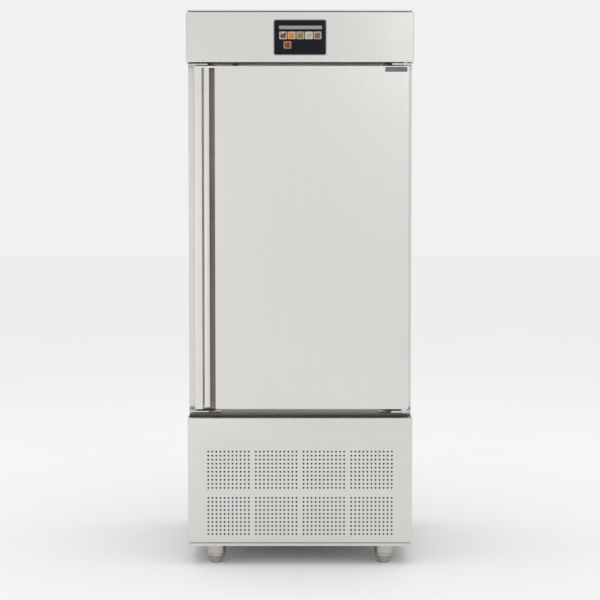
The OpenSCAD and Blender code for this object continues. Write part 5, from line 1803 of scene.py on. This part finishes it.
class CHILLER_OT_electrics(Piece, bpy.types.Operator):
    """Electrical box with its contactors and terminal block"""
    bl_idname = "chiller.electrics"
    bl_label = "Electrical box"

    def execute(self, context):
        self.box()
        self.contactors()
        return {"FINISHED"}

    def box(self):
        """Open box with four cable openings."""
        low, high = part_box("electrical_box")
        entries = [circle(low.x + mm(40 + 36 * i), high.z - mm(22), mm(7), 20) for i in range(4)]
        bm = bmesh.new()
        tray(bm, (low.x, low.z, high.x, high.z), high.y - low.y, facing_back(high.y), entries,
             bend=mm(2), corner=mm(3))
        piece("electrical_box_sheet", bm, "electrical_box", cabinet_grey())

    def contactors(self):
        """Three contactors on their rail over a row of ten terminals."""
        low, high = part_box("contactors")
        middle, rail, back = centre("contactors").x, high.z - mm(40), high.y
        bm = bmesh.new()
        for lift, z0, z1 in ((1, -17.5, -12), (2, -12.5, 12.5), (1, 12, 17.5)):
            block(bm, (middle - mm(76.5), back - mm(lift), rail + mm(z0)),
                  (middle + mm(76.5), back, rail + mm(z1)), mm(0.3), material=2)
        for i in (-1, 0, 1):
            x = middle + i * mm(48)
            for half, front, rear, tall, soft, finish in (
                    (22.5, back - mm(60), back - mm(2), 40, 1.6, 0),
                    (21, low.y, back - mm(58), 27, 1.6, 1),
                    (6, low.y - mm(0.1), low.y + mm(4), 8, 0.8, 0)):
                block(bm, (x - mm(half), front, rail - mm(tall)),
                      (x + mm(half), rear, rail + mm(tall)), mm(soft), material=finish)
            for k in (-1, 0, 1):
                for z in (-34, 34):
                    screw_head(bm, (x + k * mm(13), back - mm(60.5), rail + mm(z)), "-Y",
                               mm(3.6), mm(2), 2)
        for i in range(10):
            x = middle - mm(60) + i * mm(12)
            block(bm, (x + mm(0.3), back - mm(28), low.z), (x + mm(11.7), back, low.z + mm(26)),
                  mm(0.8), material=1 if i % 5 else 0)
            screw_head(bm, (x + mm(6), back - mm(28.6), low.z + mm(7)), "-Y", mm(3), mm(1.4), 2)
        piece("contactor_row", bm, "contactors", grey_plastic(), pale_plastic(), wire_chrome())


class CHILLER_OT_rear(Piece, bpy.types.Operator):
    """Louvred rear grille with its screws, and the cable gland"""
    bl_idname = "chiller.rear"
    bl_label = "Rear grille"

    def execute(self, context):
        dress("rear_grille", zinc_sheet())
        self.louvres()
        self.screws()
        self.gland()
        return {"FINISHED"}

    def louvres(self):
        """Three columns of pressed louvres."""
        low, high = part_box("rear_grille")
        section = [(0, mm(-0.5)), (mm(3.4), mm(-0.2)), (mm(4.6), mm(1)), (mm(4.4), mm(2.2)),
                   (0, mm(10.5)), (mm(-0.6), mm(9.6)), (mm(3.2), mm(1.8)),
                   (mm(3.0), mm(0.8)), (0, mm(0.6))]
        half = mm(61)
        bm = bmesh.new()
        for i in (-1.5, -0.5, 0.5):
            x = i * mm(150)
            for k in range(9):
                z = low.z + mm(110) + k * mm(32)
                bar(bm, section, lambda y, v, w: (w, high.y + y, z + v), (x - half, x + half))
        piece("rear_louvres", bm, "rear_grille", zinc_sheet(), replace=False)

    def screws(self):
        """Screws round the rear grille."""
        low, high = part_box("grille_screws")
        radius, head = mm(4.5), mm(2.4)
        bm = bmesh.new()
        for x in (low.x + radius, 0.0, high.x - radius):
            for z in (low.z + radius, high.z - radius):
                at = (x, high.y - head, z)
                screw_head(bm, at, "Y", radius, head)
                lathe(bm, [(mm(1.6), mm(-9)), (mm(2), mm(-8)), (mm(2), 0)], at, "Y", 16)
        piece("grille_screw_heads", bm, "grille_screws", wire_chrome())

    def gland(self):
        """Cable gland with its nuts on both sides of the sheet."""
        x, _, z = centre("cable_gland")
        start, bore, outside = highs("rear_grille").y, mm(6.5), mm(12.5)
        bm = bmesh.new()
        lathe(bm, [(bore, 0), (outside, 0), (outside, mm(9)), (mm(11.6), mm(13)),
                   (mm(10), mm(17)), (mm(9), mm(18)), (bore, mm(18))],
              (x, start, z), "Y", 36, hollow=True)
        washer(bm, (bore, outside), (mm(-13.2), 0), (x, start, z), "Y")
        for depths in ((0, mm(6)), (mm(-7.2), mm(-1.2))):
            plate(bm, circle(x, z, mm(17), 6), facing_front(start), depths,
                  [circle(x, z, bore + mm(5), 36)], mm(0.6))
        piece("cable_gland_body", bm, "cable_gland", grey_plastic())


# Stage


class CHILLER_OT_stage(Piece, bpy.types.Operator):
    """Pale floor, soft lamps, white surroundings and the camera"""
    bl_idname = "chiller.stage"
    bl_label = "Stage"

    backdrop, ambient = 0.88, 0.95
    front, side, behind = 0.93, 0.32, 0.62

    def lamp(self, name, place, target, size, power):
        """A soft white round lamp that looks at a target."""
        data = bpy.data.lights.new(name, "AREA")
        data.shape, data.size, data.energy = "DISK", size, power
        made = bpy.data.objects.new(name, data)
        bpy.context.scene.collection.objects.link(made)
        made.location = place
        made.rotation_euler = (Vector(target) - Vector(place)).to_track_quat("-Z", "Y").to_euler()

    def floor(self):
        """A wide pale floor."""
        bm = bmesh.new()
        rows = [[bm.verts.new((x, y, 0.0)) for x in (-30.0, -6.0, 6.0, 30.0)]
                for y in (-12.0, -4.0, 4.0, 45.0)]
        skin(bm, rows, closed=False)
        bmesh.ops.recalc_face_normals(bm, faces=bm.faces)
        data = bpy.data.meshes.new("studio_floor")
        bm.to_mesh(data)
        bm.free()
        made = bpy.data.objects.new("studio_floor", data)
        bpy.context.scene.collection.objects.link(made)
        material, tree, shader = principled(specular=0.0)
        material.name = FINISH + "studio_floor"
        cloud = place_group(tree, handling_marks, Size=1.5)["Marks"]
        pale = tuple(colours().floor)
        tree.links.new(blend(tree, cloud, pale, shade(pale, 0.98)), shader.inputs["Base Color"])
        shader.inputs["Roughness"].default_value = 0.7
        data.materials.append(material)

    def world(self):
        """White surroundings, with a darker side for the steel to mirror."""
        scene = bpy.context.scene
        scene.world = scene.world or bpy.data.worlds.new("Studio")
        scene.world.use_nodes = True
        tree = scene.world.node_tree
        tree.nodes.clear()
        out = tree.nodes.new("ShaderNodeOutputWorld")
        sky = tree.nodes.new("ShaderNodeBackground")
        sky.inputs["Color"].default_value = (1.0, 1.0, 1.0, 1.0)
        way = tree.nodes.new("ShaderNodeTexCoord")
        split = tree.nodes.new("ShaderNodeSeparateXYZ")
        tree.links.new(way.outputs["Generated"], split.inputs[0])
        front = remap(tree, split.outputs["Y"], -0.9, 0.05, self.front, self.side)
        behind = remap(tree, split.outputs["Y"], 0.05, 0.9, 0.0, self.behind - self.side)
        mirrored = maths(tree, "ADD", front, behind)
        rays = tree.nodes.new("ShaderNodeLightPath")
        glossy = rays.outputs["Is Glossy Ray"]
        seen = maths(tree, "MAXIMUM", rays.outputs["Is Camera Ray"],
                     rays.outputs["Is Transmission Ray"])
        level = maths(tree, "ADD", maths(tree, "MULTIPLY", glossy, mirrored),
                      maths(tree, "MULTIPLY", seen, self.backdrop))
        rest = remap(tree, maths(tree, "ADD", glossy, seen), 0.0, 1.0, self.ambient, 0.0)
        tree.links.new(maths(tree, "ADD", level, rest), sky.inputs["Strength"])
        tree.links.new(sky.outputs[0], out.inputs["Surface"])

    def execute(self, context):
        scene = bpy.context.scene
        self.floor()
        self.world()
        self.lamp("key", (1.9, -4.0, 3.0), (0.2, -0.4, 1.6), 2.4, 6)
        self.lamp("low", (-1.7, -3.6, 0.9), (-0.3, -0.4, 0.4), 2.2, 3.0)
        self.lamp("top", (0.0, -0.3, 5.0), (0, 0, 1.9), 5.0, 42)
        data = bpy.data.cameras.new("camera")
        data.lens, data.sensor_width, data.clip_end = 85.8, 36.0, 100.0
        camera = bpy.data.objects.new("camera", data)
        scene.collection.objects.link(camera)
        camera.location = (0.0, -5.410, 1.212)
        camera.rotation_euler = (math.radians(90.0 - 3.11), 0.0, 0.0)
        scene.camera = camera
        scene.view_settings.view_transform = "Standard"
        return {"FINISHED"}


OPERATORS = (
    CHILLER_OT_stage, CHILLER_OT_lid, CHILLER_OT_cabinet, CHILLER_OT_feet,
    CHILLER_OT_lower_panel, CHILLER_OT_fascia, CHILLER_OT_screen, CHILLER_OT_display_back,
    CHILLER_OT_door, CHILLER_OT_handle, CHILLER_OT_hinges, CHILLER_OT_cabin, CHILLER_OT_fans,
    CHILLER_OT_coils, CHILLER_OT_compressor, CHILLER_OT_pipes, CHILLER_OT_electrics,
    CHILLER_OT_rear,
)


class CHILLER_PT_panel(bpy.types.Panel):
    """Lists the pieces of the blast chiller"""
    bl_idname = "CHILLER_PT_panel"
    bl_label = "Blast chiller"
    bl_space_type = "VIEW_3D"
    bl_region_type = "UI"
    bl_category = "Chiller"

    def draw(self, context):
        for group in (context.scene.chiller_sizes, context.scene.chiller_colours):
            column = self.layout.column(align=True)
            for name in group.__annotations__:
                column.prop(group, name)
        column = self.layout.column(align=True)
        for operator in OPERATORS:
            column.operator(operator.bl_idname)


CLASSES = (ChillerSizes, ChillerColours, *OPERATORS, CHILLER_PT_panel)


def register():
    for item in CLASSES:
        bpy.utils.register_class(item)
    bpy.types.Scene.chiller_sizes = bpy.props.PointerProperty(type=ChillerSizes)
    bpy.types.Scene.chiller_colours = bpy.props.PointerProperty(type=ChillerColours)


def unregister():
    del bpy.types.Scene.chiller_colours
    del bpy.types.Scene.chiller_sizes
    for item in reversed(CLASSES):
        bpy.utils.unregister_class(item)


def main():
    register()
    for operator in OPERATORS:
        group, name = operator.bl_idname.split(".")
        getattr(getattr(bpy.ops, group), name)()


if __name__ == "__main__":
    main()
